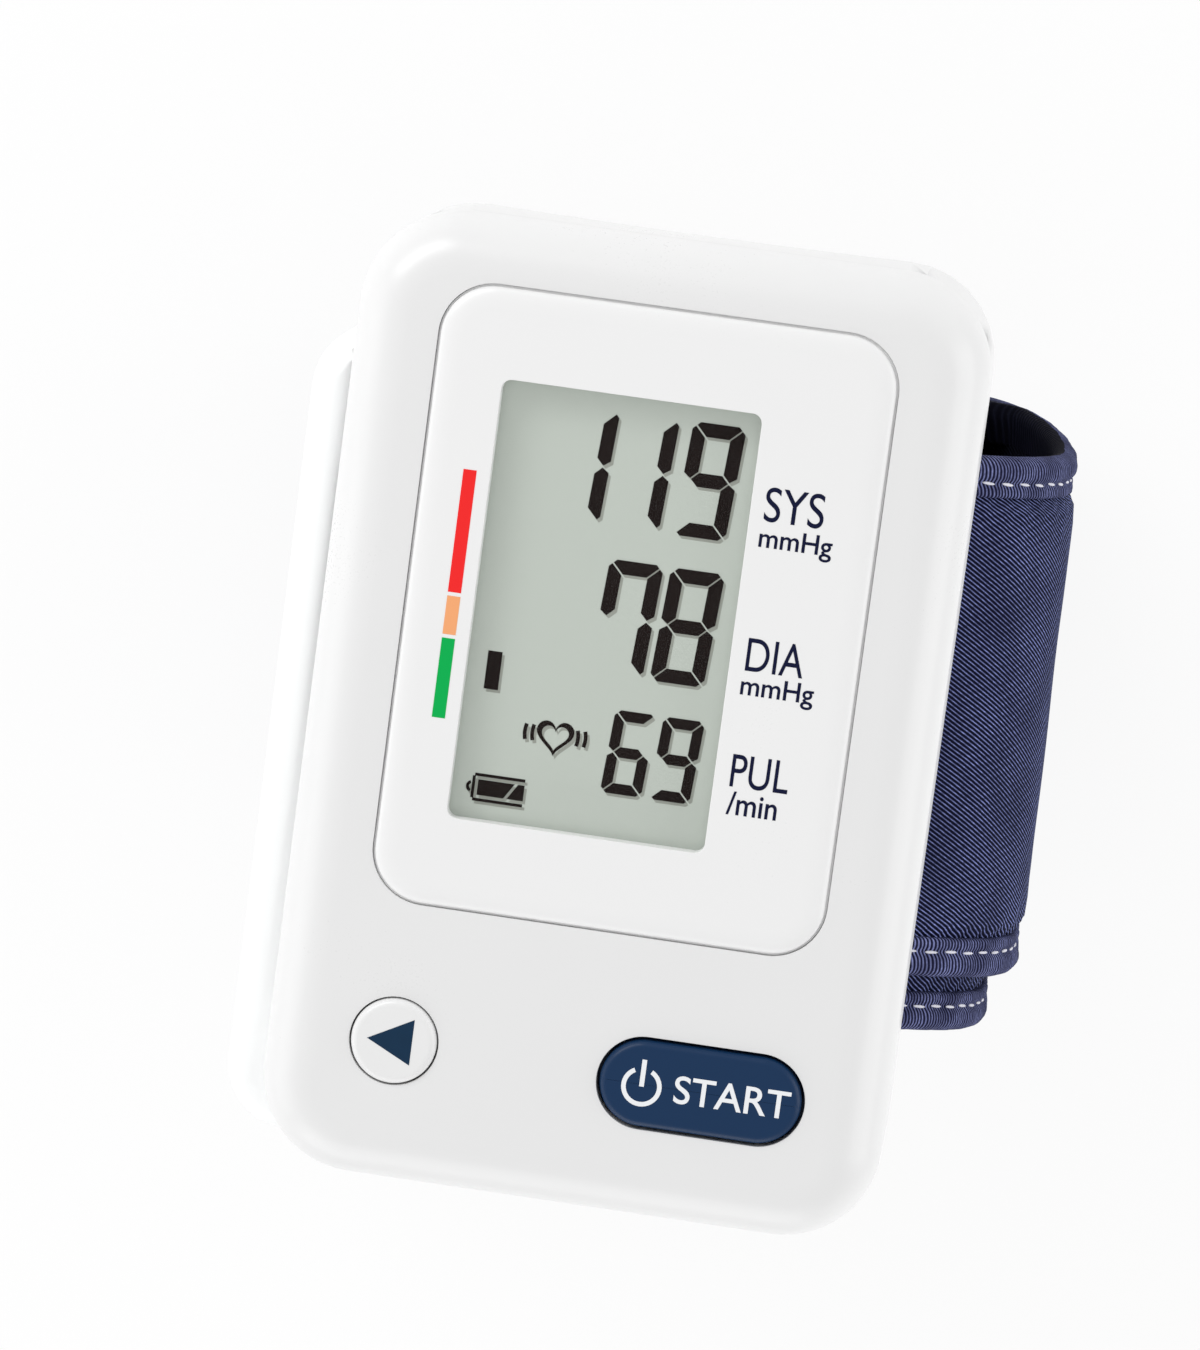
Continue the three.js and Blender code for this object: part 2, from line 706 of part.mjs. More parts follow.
// Band of four-cornered sections between two places along the wrap
function cuffBand(from, to, inner, outer, low, high) {
  const stations = [from];
  for (let grid = Math.ceil(from / stationPitch); grid * stationPitch < to - stationPitch / 4; grid += 1) {
    if (grid * stationPitch > from + stationPitch / 4) {
      stations.push(grid * stationPitch);
    }
  }
  stations.push(to);
  const rings = stations.map((along) => [
    cuffPoint(along, inner(along), low),
    cuffPoint(along, outer(along), low),
    cuffPoint(along, outer(along), high),
    cuffPoint(along, inner(along), high),
  ]);
  const section = [[0, 0], [1, 0], [1, 1], [0, 1]].map(([x, y]) => new THREE.Vector2(x, y));
  return solidOf(loftRings(rings, section));
}

function level(out) {
  return () => out;
}

const bladderIn = liningThickness + layerGap;
const curlerIn = bladderIn + bladderThickness + layerGap;
const edgeGap = slipGap;
const layerHalf = innerHalf - edgeGap;
const nippleFoot = openingTop + curlerIn;
const nippleHoleRadius = nippleDiameter / 2 + fitGap;
const nippleHole = postSolid(manifoldX, manifoldY, nippleHoleRadius, nippleFoot - layerGap / 2, frontZ);

// Case
place('front_case', frontCase(), caseWhite, 0.35);
place('rear_case', rearCase(), caseWhite, 0.45);
place('battery_cover', batteryCover(), caseWhite, 0.4);
place('display_panel', displayPanel(), caseWhite, 0.3);
place('display_window', block(lensBox, windowRadius, lensLow, lensHigh), 0xd8ddd6, 0.08);
place('lcd_module', lcdModule(), 0xc3c8be, 0.25);
place('lcd_frame', lcdFrame(), 0xe8e8e6, 0.6);
place('lcd_connector', block({
  left: lcdBox.left + frameWall + fitGap,
  right: lcdBox.right - frameWall - fitGap,
  bottom: lcdBox.bottom + frameWall + fitGap,
  top: lcdBox.bottom + frameWall + fitGap + lcdLedge,
}, connectorCorner, boardHigh + slipGap, lcdLow - slipGap), 0xd98a9a, 0.8);

// Board and keys
const boardHalf = screwX - bossRadius - wall / 2 - fitGap;
place('circuit_board', block({
  left: -boardHalf,
  right: boardHalf,
  bottom: -halfLength + boardEndGap,
  top: halfLength - boardEndGap,
}, boardCorner, boardLow, boardHigh), 0x1f6b3a, 0.5);
place('start_button', keyCap(startBox, startLength / 2), navy, 0.35);
place('memory_button', keyCap(memoryBox, memoryDiameter / 2), caseWhite, 0.35);
place('start_key_dome', keyDome(startX, startY), 0x9aa0a6, 0.8);
place('memory_key_dome', keyDome(memoryX, memoryY), 0x9aa0a6, 0.8);

// Cells: the outer one points to the hand, the inner one to the arm
const lowStop = bayBottom + fitGap + contactThickness;
const highStop = bayTop - fitGap - contactThickness;
const cellGreen = 0x2f6f4f;
const outerFrom = highStop - fitGap - cellLength;
const innerFrom = lowStop + fitGap + cellLength;
place('battery_cell_outer', cell(cellOuterX, cellOuterZ, outerFrom, 1), cellGreen, 0.4, 0.3);
place('battery_cell_inner', cell(cellInnerX, cellInnerZ, innerFrom, -1), cellGreen, 0.4, 0.3);
const plateHalf = contactWidth / 2;
place('contact_bridge', contactPlate(cellOuterX - plateHalf, cellInnerX + plateHalf, bayTop - fitGap, -1,
  cellInnerZ - plateHalf, cellOuterZ + plateHalf), steel, 0.3, 1);
place('contact_negative', contactPlate(cellOuterX - plateHalf, cellOuterX + plateHalf, bayBottom + fitGap, 1,
  cellOuterZ - plateHalf, cellOuterZ + plateHalf), steel, 0.3, 1);
place('contact_positive', contactPlate(cellInnerX - plateHalf, cellInnerX + plateHalf, bayBottom + fitGap, 1,
  cellInnerZ - plateHalf, cellInnerZ + plateHalf), steel, 0.3, 1);
place('negative_spring', contactSpring(cellOuterX, cellOuterZ, lowStop, 1), steel, 0.3, 1);
place('bridge_spring', contactSpring(cellInnerX, cellInnerZ, highStop, -1), steel, 0.3, 1);

// Air line
place('pump_motor', pumpMotor(), steel, 0.35, 1);
place('pump_head', pumpHead(), 0x3a3d42, 0.6);
place('exhaust_valve', exhaustValve(), 0xdad7c8, 0.5);
place('air_manifold', airManifold(), 0x55595f, 0.6);
place('pressure_sensor', pressureSensor(), 0x2a2c30, 0.5);
place('pump_tube', tube([
  [pumpX, headTo + nozzleLength + slipGap, lineZ],
  [pumpX, headTo + nozzleLength + tubeLead, lineZ],
  [manifoldX, manifoldFrom - tubeLead, manifoldZ],
  [manifoldX, manifoldFrom - slipGap, manifoldZ],
]), 0xe6e2d6, 0.6);
const sensorPortY = sensorY - sensorWidth / 2 - nozzleLength;
const sensorPortZ = boardLow - slipGap - sensorHeight / 2;
place('sensor_tube', tube([
  [manifoldX, manifoldTo + slipGap, manifoldZ],
  [manifoldX, manifoldTo + tubeLead, manifoldZ],
  [manifoldX, sensorPortY - tubeLead, sensorPortZ],
  [manifoldX, sensorPortY - slipGap, sensorPortZ],
]), 0xe6e2d6, 0.6);

// Screws that hold the shells together, driven from the wrist side
screwPlaces.forEach(([x, y], number) => {
  const headLowest = screwSeatZ - screwHeadHeight - slipGap;
  const head = postSolid(x, y, screwHead / 2, headLowest, screwSeatZ - slipGap, screwSides);
  const shank = postSolid(x, y, screwDiameter / 2, screwSeatZ - screwHeadHeight, screwTip, screwSides);
  place(`case_screw_${number + 1}`, geometryOf(head.add(shank)), steel, 0.35, 1);
});

// Plate whose pegs hold the cuff to the case
function cuffPlate() {
  let plate = curvedPlate(wristRadius - slipGap, plateThickness, centredBox(0, 0, plateWidth, plateLength));
  for (const [x, y] of pegPlaces) {
    const reach = Math.abs(x) + pegDiameter / 2;
    plate = plate.add(postSolid(x, y, pegDiameter / 2, hollowHeight(reach, wristRadius - plateThickness / 2),
      hollowHeight(reach, floorRadius) - slipGap));
  }
  return geometryOf(plate.subtract(nippleHole));
}
place('cuff_plate', cuffPlate(), 0x6a6d74, 0.6);

function cuffNipple() {
  return geometryOf(postSolid(manifoldX, manifoldY, nippleDiameter / 2, nippleFoot, manifoldZ - slipGap));
}

// Cuff
function layer(from, to, inner, outer) {
  return cuffBand(from, to, inner, outer, -layerHalf, layerHalf);
}

const bladderOut = bladderIn + bladderThickness;
const curlerOut = curlerIn + curlerThickness;
place('cuff_lining', geometryOf(layer(innerEnd, liningEnd, level(0), level(liningThickness))), 0x15151a, 0.9);
place('bladder', geometryOf(layer(innerEnd, loopLength, level(bladderIn), level(bladderOut))), 0x2b2d33, 0.7);
const curler = layer(innerEnd, loopLength, level(curlerIn), level(curlerOut)).subtract(nippleHole);
place('curler', geometryOf(curler), 0xd9dde2, 0.4);
const fixedBand = layer(innerEnd, flapStart, fabricInner, fabricOuter).subtract(nippleHole);
place('cuff_band', geometryOf(fixedBand), cuffNavy, 0.9);
place('cuff_nipple', cuffNipple(), 0x55595f, 0.6);

// Free end: hook patch under the fabric, and bindings round its three edges
const flapFrom = flapStart + fitGap;
const tipStart = flapEnd - bindingWidth;
const flapTo = tipStart - edgeGap;
const hookOut = flapInner + hookThickness;
for (const [name, low, high] of [['arm', -cuffWidth / 2, -innerHalf], ['hand', innerHalf, cuffWidth / 2]]) {
  const fixedEdge = cuffBand(innerEnd, liningEnd, level(0), fabricOuter, low, high);
  place(`binding_${name}`, geometryOf(fixedEdge), cuffNavy, 0.9);
  const flapEdge = cuffBand(flapFrom, flapEnd, level(flapInner), level(flapOuter), low, high);
  place(`flap_binding_${name}`, geometryOf(flapEdge), cuffNavy, 0.9);
}
const flapCloth = layer(flapFrom, flapTo, level(hookOut + layerGap), level(flapOuter));
place('cuff_flap', geometryOf(flapCloth), cuffNavy, 0.9);
place('hook_patch', geometryOf(layer(flapFrom, flapTo, level(flapInner), level(hookOut))), 0x1a1b22, 0.95);
const tipEdge = layer(tipStart, flapEnd, level(flapInner), level(flapOuter));
place('flap_binding_tip', geometryOf(tipEdge), cuffNavy, 0.9);

export default root;
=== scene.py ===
import bpy
import bisect
import bmesh
import math
from mathutils import Matrix, Vector


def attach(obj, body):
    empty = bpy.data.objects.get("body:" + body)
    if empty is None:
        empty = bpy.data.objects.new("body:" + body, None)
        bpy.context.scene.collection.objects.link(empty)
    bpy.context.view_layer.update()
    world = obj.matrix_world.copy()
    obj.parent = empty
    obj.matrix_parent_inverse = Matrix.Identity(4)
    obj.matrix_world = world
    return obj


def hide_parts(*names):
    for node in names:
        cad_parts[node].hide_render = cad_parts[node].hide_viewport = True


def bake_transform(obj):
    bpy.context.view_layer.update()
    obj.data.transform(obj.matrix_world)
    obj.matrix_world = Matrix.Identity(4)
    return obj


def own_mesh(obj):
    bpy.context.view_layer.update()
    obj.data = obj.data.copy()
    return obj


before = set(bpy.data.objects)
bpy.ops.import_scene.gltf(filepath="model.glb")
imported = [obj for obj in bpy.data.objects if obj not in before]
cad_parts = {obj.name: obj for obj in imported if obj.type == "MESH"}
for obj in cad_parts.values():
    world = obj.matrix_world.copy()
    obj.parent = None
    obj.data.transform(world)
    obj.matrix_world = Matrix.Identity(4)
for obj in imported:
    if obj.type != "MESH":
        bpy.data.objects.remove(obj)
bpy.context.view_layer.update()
scene = bpy.context.scene
scene.view_settings.view_transform = "Standard"
mm = 0.001
print("frame loaded:", len(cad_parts), "nodes")


# camera over the display, turned as the photograph is
cameraSet = {
    "target": (-2.29, 5.245, 72.96), "azimuth": 4.0, "elevation": 8.3, "distance": 540.0,
    "roll": 7.55, "pixelsPerMm": 11.1, "photoLongSide": 1350, "sensor": 36, "clip": (0.01, 30)}


def addCamera(s):
    az, el, roll = (math.radians(s[k]) for k in ("azimuth", "elevation", "roll"))
    away = Vector((math.sin(az) * math.cos(el), math.sin(el), math.cos(az) * math.cos(el)))
    side = (-away).cross(Vector((0, 1, 0))).normalized()
    up = side.cross(-away)
    right = side * math.cos(roll) + up * math.sin(roll)
    top = up * math.cos(roll) - side * math.sin(roll)
    deselectAll()
    bpy.ops.object.camera_add()
    camera = bpy.context.object
    place = Vector(s["target"]) * mm + away * s["distance"] * mm
    turned = Matrix((right, top, away)).transposed().to_4x4()
    camera.matrix_world = Matrix.Translation(place) @ turned
    camera.data.sensor_width = s["sensor"]
    camera.data.lens = s["sensor"] * s["pixelsPerMm"] * s["distance"] / s["photoLongSide"]
    camera.data.clip_start, camera.data.clip_end = s["clip"]
    scene.camera = camera


# selecting, and the few moves that every rigid piece is made with
nearly = 0.01
facing = 0.9


def deselectAll():
    if bpy.context.mode != "OBJECT":
        bpy.ops.object.mode_set(mode="OBJECT")
    bpy.ops.object.select_all(action="DESELECT")


def takeUp(piece):
    deselectAll()
    piece.select_set(True)
    bpy.context.view_layer.objects.active = piece


def settle(name):
    bpy.ops.object.transform_apply(location=True, rotation=True, scale=True)
    bpy.context.object.name = name
    return bpy.context.object


def addBlock(name, low, high):
    deselectAll()
    size = [(h - l) * mm for l, h in zip(low, high)]
    centre = [(h + l) / 2 * mm for l, h in zip(low, high)]
    bpy.ops.mesh.primitive_cube_add(size=1, location=centre, scale=size)
    return settle(name)


# opens a piece in edit mode, which lasts until a piece is taken up again
def openMesh(piece, kind):
    takeUp(piece)
    bpy.ops.object.mode_set(mode="EDIT")
    bpy.ops.mesh.select_mode(type=kind)
    bpy.ops.mesh.select_all(action="DESELECT")
    return bmesh.from_edit_mesh(piece.data)


def pickParts(piece, kind, wanted):
    mesh = openMesh(piece, kind)
    mesh.normal_update()
    for part in mesh.faces if kind == "FACE" else mesh.edges:
        part.select_set(wanted(part))
    bmesh.update_edit_mesh(piece.data)


def roundEdges(piece, wanted, radius, steps):
    pickParts(piece, "EDGE", lambda edge: wanted(*(corner.co / mm for corner in edge.verts)))
    bpy.ops.mesh.bevel(offset=radius * mm, segments=steps, affect="EDGES", clamp_overlap=False)
    deselectAll()


def roundCorners(piece, radius, steps):
    roundEdges(piece, lambda a, b: (a - b).xy.length < nearly, radius, steps)


def roundRim(piece, height, radius, steps):
    roundEdges(piece, lambda a, b: max(abs(a.z - height), abs(b.z - height)) < nearly, radius, steps)


def addModifier(piece, kind, **values):
    takeUp(piece)
    modifier = piece.modifiers.new(kind.lower(), kind)
    for key, value in values.items():
        setattr(modifier, key, value)
    bpy.ops.object.modifier_apply(modifier=modifier.name)


def cutWith(piece, cutter):
    addModifier(piece, "BOOLEAN", operation="DIFFERENCE", solver="EXACT", object=cutter)
    bpy.data.objects.remove(cutter, do_unlink=True)


def softenEdges(piece, width, steps=2, angle=30):
    addModifier(piece, "BEVEL", width=width * mm, segments=steps, limit_method="ANGLE",
                angle_limit=math.radians(angle))
    smooth(piece)


def smooth(piece, angle=35):
    takeUp(piece)
    bpy.ops.object.shade_smooth_by_angle(angle=math.radians(angle))
    addModifier(piece, "WEIGHTED_NORMAL", keep_sharp=True)


def giveMaterial(piece, material):
    piece.data.materials.clear()
    piece.data.materials.append(material)


def dressPiece(piece, material, nodes):
    giveMaterial(piece, material)
    if nodes:
        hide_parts(*nodes)


def finishPiece(piece, material, slot, *nodes, body="monitor"):
    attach(piece, body)
    dressPiece(piece, material, nodes)
    return piece


# shader nodes: values are set, and sockets are linked
def feed(tree, node, inputs):
    for key, value in inputs.items():
        if hasattr(value, "links"):
            tree.links.new(value, node.inputs[key])
        else:
            node.inputs[key].default_value = value


def addNode(tree, kind, inputs=None, **values):
    node = tree.nodes.new(kind)
    for key, value in values.items():
        setattr(node, key, value)
    feed(tree, node, inputs or {})
    return node


def maths(tree, operation, *values):
    return addNode(tree, "ShaderNodeMath", dict(enumerate(values)), operation=operation).outputs[0]


def noise(tree, place, scale, detail=2.0):
    inputs = {"Vector": place, "Scale": scale, "Detail": detail}
    return addNode(tree, "ShaderNodeTexNoise", inputs).outputs["Fac"]


def newGroup(name, colors, floats):
    group = bpy.data.node_groups.new(name, "ShaderNodeTree")
    for way, colorLabels, floatLabels in (("INPUT", colors, floats), ("OUTPUT", "Color", "Roughness Height")):
        for kind, labels in (("NodeSocketColor", colorLabels), ("NodeSocketFloat", floatLabels)):
            for label in labels.split():
                group.interface.new_socket(name=label, in_out=way, socket_type=kind)
    return group, group.nodes.new("NodeGroupInput").outputs, group.nodes.new("NodeGroupOutput")


# moulded surface as a group: soft blotches of shade and a fine grain
def mouldedGroup():
    group, given, out = newGroup("moulded surface", "Color", "Shade Blotch Grain Roughness Spread")
    place = addNode(group, "ShaderNodeTexCoord").outputs["Object"]
    blotch = noise(group, place, given["Blotch"], detail=3.0)
    grain = noise(group, place, given["Grain"])
    keep = maths(group, "SUBTRACT", 1.0, maths(group, "MULTIPLY", blotch, given["Shade"]))
    tone = addNode(group, "ShaderNodeVectorMath", {0: given["Color"], "Scale": keep}, operation="SCALE")
    around = maths(group, "SUBTRACT", maths(group, "ADD", blotch, grain), 1.0)
    rough = maths(group, "MULTIPLY_ADD", around, given["Spread"], given["Roughness"])
    feed(group, out, {"Color": tone.outputs[0], "Roughness": rough, "Height": grain})
    return group


moulded = mouldedGroup()


def newMaterial(name):
    material = bpy.data.materials.new(name)
    material.use_nodes = True
    tree = material.node_tree
    return material, tree, tree.nodes["Principled BSDF"]


# levels of 0 to 255 as linear colour
def srgb(*rgb):
    return tuple(((c / 255 + 0.055) / 1.055) ** 2.4 if c > 10 else c / 255 / 12.92 for c in rgb) + (1,)


# a finish from one of the groups: what the group is given, its relief, and what the shader is given
def groupFinish(name, group, inputs, bump, depth, rest):
    material, tree, shader = newMaterial(name)
    surface = addNode(tree, "ShaderNodeGroup", inputs, node_tree=group).outputs
    feed(tree, shader, {"Base Color": surface["Color"], "Roughness": surface["Roughness"], **rest})
    if bump:
        height = {"Height": surface["Height"], "Strength": bump, "Distance": depth * mm}
        feed(tree, shader, {"Normal": addNode(tree, "ShaderNodeBump", height).outputs["Normal"]})
    return material


# plastic, rubber, metal or print, with depths in millimetres; glow makes a surface give off its own colour as
# painted light
def mouldedFinish(name, color, roughness, shade=0.03, blotch=60.0, grain=4000.0, spread=0.08, bump=0.05,
                  depth=0.01, metallic=0.0, specular=0.5, subsurface=0.0, scatter=0.5, glow=0.0):
    inputs = {"Color": color, "Shade": shade, "Blotch": blotch, "Grain": grain, "Roughness": roughness,
              "Spread": spread}
    return groupFinish(name, moulded, inputs, bump, depth, {
        "Metallic": metallic, "Specular IOR Level": specular, "Subsurface Weight": subsurface,
        "Subsurface Scale": scatter * mm, "Emission Color": color, "Emission Strength": glow})


# floor, soft light and the pale surround, in metres; each lamp has a place, a size and a power
stageSet = {
    "floor": srgb(246, 246, 246), "floorSize": 6, "floorRoughness": 0.9, "floorSpecular": 0.1,
    "floorGlow": 0.88, "worldStrength": 0.58, "aim": (0, 0, 0.04),
    "lamps": [("key lamp", (-0.42, 0.47, 0.44), (0.6, 0.24), 2.6),
              ("fill lamp", (0.62, 0.05, 0.23), (0.6, 0.5), 1.8),
              ("left lamp", (-0.6, -0.15, 0.23), (0.6, 0.4), 0.6),
              ("low lamp", (-0.1, -0.62, 0.21), (0.7, 0.4), 1.55)]}


def raysSeen(tree):
    rays = addNode(tree, "ShaderNodeLightPath").outputs
    either = maths(tree, "MAXIMUM", rays["Is Camera Ray"], rays["Is Glossy Ray"])
    return maths(tree, "MAXIMUM", either, rays["Is Transmission Ray"])


def addFloor(s):
    deselectAll()
    bpy.ops.mesh.primitive_plane_add(size=s["floorSize"])
    floor = bpy.context.object
    floor.name = "floor"
    material, tree, shader = newMaterial("pale floor")
    feed(tree, shader, {"Base Color": s["floor"], "Roughness": s["floorRoughness"],
                        "Specular IOR Level": s["floorSpecular"]})
    share = maths(tree, "MULTIPLY", raysSeen(tree), s["floorGlow"])
    glow = addNode(tree, "ShaderNodeEmission")
    mixed = addNode(tree, "ShaderNodeMixShader", {0: share, 1: shader.outputs[0], 2: glow.outputs[0]})
    feed(tree, tree.nodes["Material Output"], {"Surface": mixed.outputs[0]})
    giveMaterial(floor, material)


def addWorld(s):
    world = bpy.data.worlds.new("pale surround")
    scene.world = world
    world.use_nodes = True
    tree = world.node_tree
    level = maths(tree, "MULTIPLY_ADD", raysSeen(tree), 1 - s["worldStrength"], s["worldStrength"])
    feed(tree, tree.nodes["Background"], {"Color": (1, 1, 1, 1), "Strength": level})


def addLamps(s):
    for name, place, size, power in s["lamps"]:
        deselectAll()
        bpy.ops.object.light_add(type="AREA", location=place)
        lamp = bpy.context.object
        lamp.name = name
        lamp.data.energy = power
        lamp.data.shape = "RECTANGLE"
        lamp.data.size, lamp.data.size_y = size
        lamp.rotation_euler = (Vector(s["aim"]) - Vector(place)).to_track_quat("-Z", "Y").to_euler()


addCamera(cameraSet)
addFloor(stageSet)
addWorld(stageSet)
addLamps(stageSet)
print("camera, floor and lamps placed")


# front shell: a hollow block with a wide soft rim, a shallow seat for the panel, and two key holes
caseSet = {
    "low": (-28.7, -44.525, 63.89), "high": (28.7, 44.525, 72.96), "corner": 9.0, "cornerSteps": 14,
    "rim": 5.3, "rimSteps": 10, "wall": 1.8, "soft": 0.12, "groove": 0.3, "seat": 71.84,
    "panel": ((-20.45, -17.725), (20.6, 38.65)), "panelCorner": 4.7, "panelSteps": 12,
    "glass": ((-15.82, -10.945), (10.57, 32.045)), "glassLap": 0.5,
    "keyGap": {"start": 0.3, "memory": 0.15}, "cutAbove": 3, "cutBelow": 6}
keySet = {
    "start": (11.75, -31.325, 18.5, 8.0), "memory": (-16.58, -30.8, 7.9, 7.9), "top": 73.46,
    "rim": 0.75, "rimSteps": 5, "pillSteps": 20, "pillFlat": 0.004, "roundSides": 72, "lap": 0.2,
    "flange": 0.8, "flangeLow": 69.76, "flangeHigh": 70.56, "flangeSoft": 0.15}
casePlastic = mouldedFinish("case white satin plastic", srgb(233, 233, 233), 0.3, shade=0.02, bump=0.06)


def keyBlock(name, key, by, low, high):
    x, y, width, length = keySet[key]
    halfX, halfY = width / 2 + by, length / 2 + by
    if width == length:
        deselectAll()
        bpy.ops.mesh.primitive_cylinder_add(
            vertices=keySet["roundSides"], radius=halfY * mm, depth=(high - low) * mm,
            location=(x * mm, y * mm, (low + high) / 2 * mm))
        return settle(name)
    block = addBlock(name, (x - halfX, y - halfY, low), (x + halfX, y + halfY, high))
    roundCorners(block, halfY - keySet["pillFlat"], keySet["pillSteps"])
    return block


def frontShell(s):
    shell = addBlock("frontShell", s["low"], s["high"])
    roundCorners(shell, s["corner"], s["cornerSteps"])
    roundRim(shell, s["high"][2], s["rim"], s["rimSteps"])
    pickParts(shell, "FACE", lambda face: face.normal.z < -facing)
    bpy.ops.mesh.delete(type="FACE")
    addModifier(shell, "SOLIDIFY", thickness=s["wall"] * mm, offset=-1, use_even_offset=True)
    above, below, g = s["high"][2] + s["cutAbove"], s["seat"] - s["cutBelow"], s["groove"]
    (left, bottom), (right, top) = s["panel"]
    seat = addBlock("seat", (left - g, bottom - g, s["seat"]), (right + g, top + g, above))
    roundCorners(seat, s["panelCorner"] + g, s["panelSteps"])
    cutWith(shell, seat)
    (left, bottom), (right, top) = s["glass"]
    cutWith(shell, addBlock("opening", (left, bottom, below), (right, top, s["seat"] + s["glassLap"])))
    for key, gap in s["keyGap"].items():
        cutWith(shell, keyBlock("hole", key, gap, below, above))
    softenEdges(shell, s["soft"])
    finishPiece(shell, casePlastic, "case_white", "front_case")


frontShell(caseSet)
print("front shell made")


# display panel: its edge rolls up out of the groove, and the window is cut through it
panelSet = {
    "low": 71.96, "ledge": 72.62, "shoulder": 72.8, "top": 73.56, "skirt": 0.27, "grow": 0.08,
    "roll": 2.1, "rollSteps": 7, "window": ((-14.4, -9.525), (9.15, 30.625)), "windowCorner": 0.9,
    "windowSteps": 6, "cutAbove": 3, "cutBelow": 2, "soft": 0.2, "softSteps": 3, "softAngle": 15}
panelPlastic = mouldedFinish("panel white plastic", srgb(240, 240, 240), 0.3, shade=0.02, bump=0.08)


def displayPanel(s):
    (left, bottom), (right, top) = caseSet["panel"]
    k = s["skirt"]
    panel = addBlock("displayPanel", (left - k, bottom - k, s["low"]), (right + k, top + k, s["ledge"]))
    roundCorners(panel, caseSet["panelCorner"] + k, caseSet["panelSteps"])
    pickParts(panel, "FACE", lambda face: face.normal.z > facing)
    bpy.ops.mesh.inset(thickness=(k - s["grow"]) * mm)
    step = (0, 0, (s["shoulder"] - s["ledge"]) * mm)
    bpy.ops.mesh.extrude_region_move(TRANSFORM_OT_translate={"value": step})
    angles = [math.pi / 2 * i / s["rollSteps"] for i in range(s["rollSteps"] + 1)]
    for a, b in zip(angles, angles[1:]):
        bpy.ops.mesh.inset(thickness=s["roll"] * (math.cos(a) - math.cos(b)) * mm)
        rise = (s["top"] - s["shoulder"]) * (math.sin(b) - math.sin(a))
        bpy.ops.transform.translate(value=(0, 0, rise * mm))
    (left, bottom), (right, top) = s["window"]
    cutter = addBlock("cutter", (left, bottom, s["low"] - s["cutBelow"]),
                      (right, top, s["shoulder"] + s["cutAbove"]))
    roundCorners(cutter, s["windowCorner"], s["windowSteps"])
    cutWith(panel, cutter)
    softenEdges(panel, s["soft"], steps=s["softSteps"], angle=s["softAngle"])
    finishPiece(panel, panelPlastic, "panel_white", "display_panel")


displayPanel(panelSet)
print("display panel made")


# keys: a pill and a round cap with soft rims over their flanges
keyNavy = mouldedFinish("navy key plastic", srgb(8, 46, 83), 0.36, shade=0.15, bump=0.1, specular=0.22)
keyWhite = mouldedFinish("white key plastic", srgb(235, 235, 235), 0.34, shade=0.02, bump=0.08)


def keyPiece(s, name, key, material, slot, body):
    cap = keyBlock(name, key, 0.0, s["flangeHigh"] - s["lap"], s["top"])
    roundRim(cap, s["top"], s["rim"], s["rimSteps"])
    flange = keyBlock("flange", key, s["flange"], s["flangeLow"], s["flangeHigh"])
    softenEdges(flange, s["flangeSoft"])
    joinUp(name, [cap, flange])
    smooth(cap)
    finishPiece(cap, material, slot, body, body=body)


def joinUp(name, parts):
    takeUp(parts[0])
    for part in parts[1:]:
        part.select_set(True)
    bpy.ops.object.join()
    parts[0].name = name
    return parts[0]


keyPiece(keySet, "startKey", "start", keyNavy, "button_navy", "start_button")
keyPiece(keySet, "memoryKey", "memory", keyWhite, "button_white", "memory_button")
print("keys made")


# flat marks: filled outlines, printed or shown on the display, given in millimetres
letterSize = 4.0


def flatMarks(name, outlines, low, thick):
    curve = bpy.data.curves.new(name, "CURVE")
    curve.dimensions = "2D"
    curve.fill_mode = "BOTH"
    curve.extrude = thick * mm / 2
    for outline in outlines:
        spline = curve.splines.new("POLY")
        spline.points.add(len(outline) - 1)
        for point, (x, y) in zip(spline.points, outline):
            point.co = (x * mm, y * mm, 0, 1)
        spline.use_cyclic_u = True
    marks = bpy.data.objects.new(name, curve)
    scene.collection.objects.link(marks)
    takeUp(marks)
    bpy.ops.object.convert(target="MESH")
    bpy.ops.transform.translate(value=(0, 0, (low + thick / 2) * mm))
    return settle(name)


def wordMark(word, centre, width, height, weight, low, thick):
    deselectAll()
    bpy.ops.object.text_add()
    text = bpy.context.object
    text.data.body = word
    text.data.size = letterSize * mm
    text.data.offset = weight * mm
    text.data.extrude = thick * mm / 2
    bpy.ops.object.convert(target="MESH")
    corners = [v.co for v in text.data.vertices]
    left, right = min(c.x for c in corners), max(c.x for c in corners)
    bottom, top = min(c.y for c in corners), max(c.y for c in corners)
    wide = width * mm / (right - left)
    tall = height * mm / (top - bottom)
    text.scale = (wide, tall, 1)
    text.location = (centre[0] * mm - wide * (left + right) / 2,
                     centre[1] * mm - tall * (bottom + top) / 2, (low + thick / 2) * mm)
    return settle(word)


def moved(outlines, by):
    return [[(x + by[0], y + by[1]) for x, y in outline] for outline in outlines]


# the same outline drawn further in, for corners that run clockwise
def insetOutline(points, by):
    lines = []
    for a, b in zip(points, points[1:] + points[:1]):
        along = (Vector(b) - Vector(a)).normalized()
        lines.append((Vector(a) + Vector((along.y, -along.x)) * by, along))
    inset = []
    for (p, d), (q, e) in zip(lines[-1:] + lines, lines):
        turned = d.x * e.y - d.y * e.x
        share = ((q - p).x * e.y - (q - p).y * e.x) / turned
        inset.append(tuple(p + d * share))
    return inset


def ringOutline(centre, radius, first, last, stroke, steps):
    angles = [math.radians(first + (last - first) * i / steps) for i in range(steps + 1)]
    outer, inner = ([(centre[0] + r * math.cos(a), centre[1] + r * math.sin(a)) for a in angles]
                    for r in (radius + stroke / 2, radius - stroke / 2))
    return outer + inner[::-1]


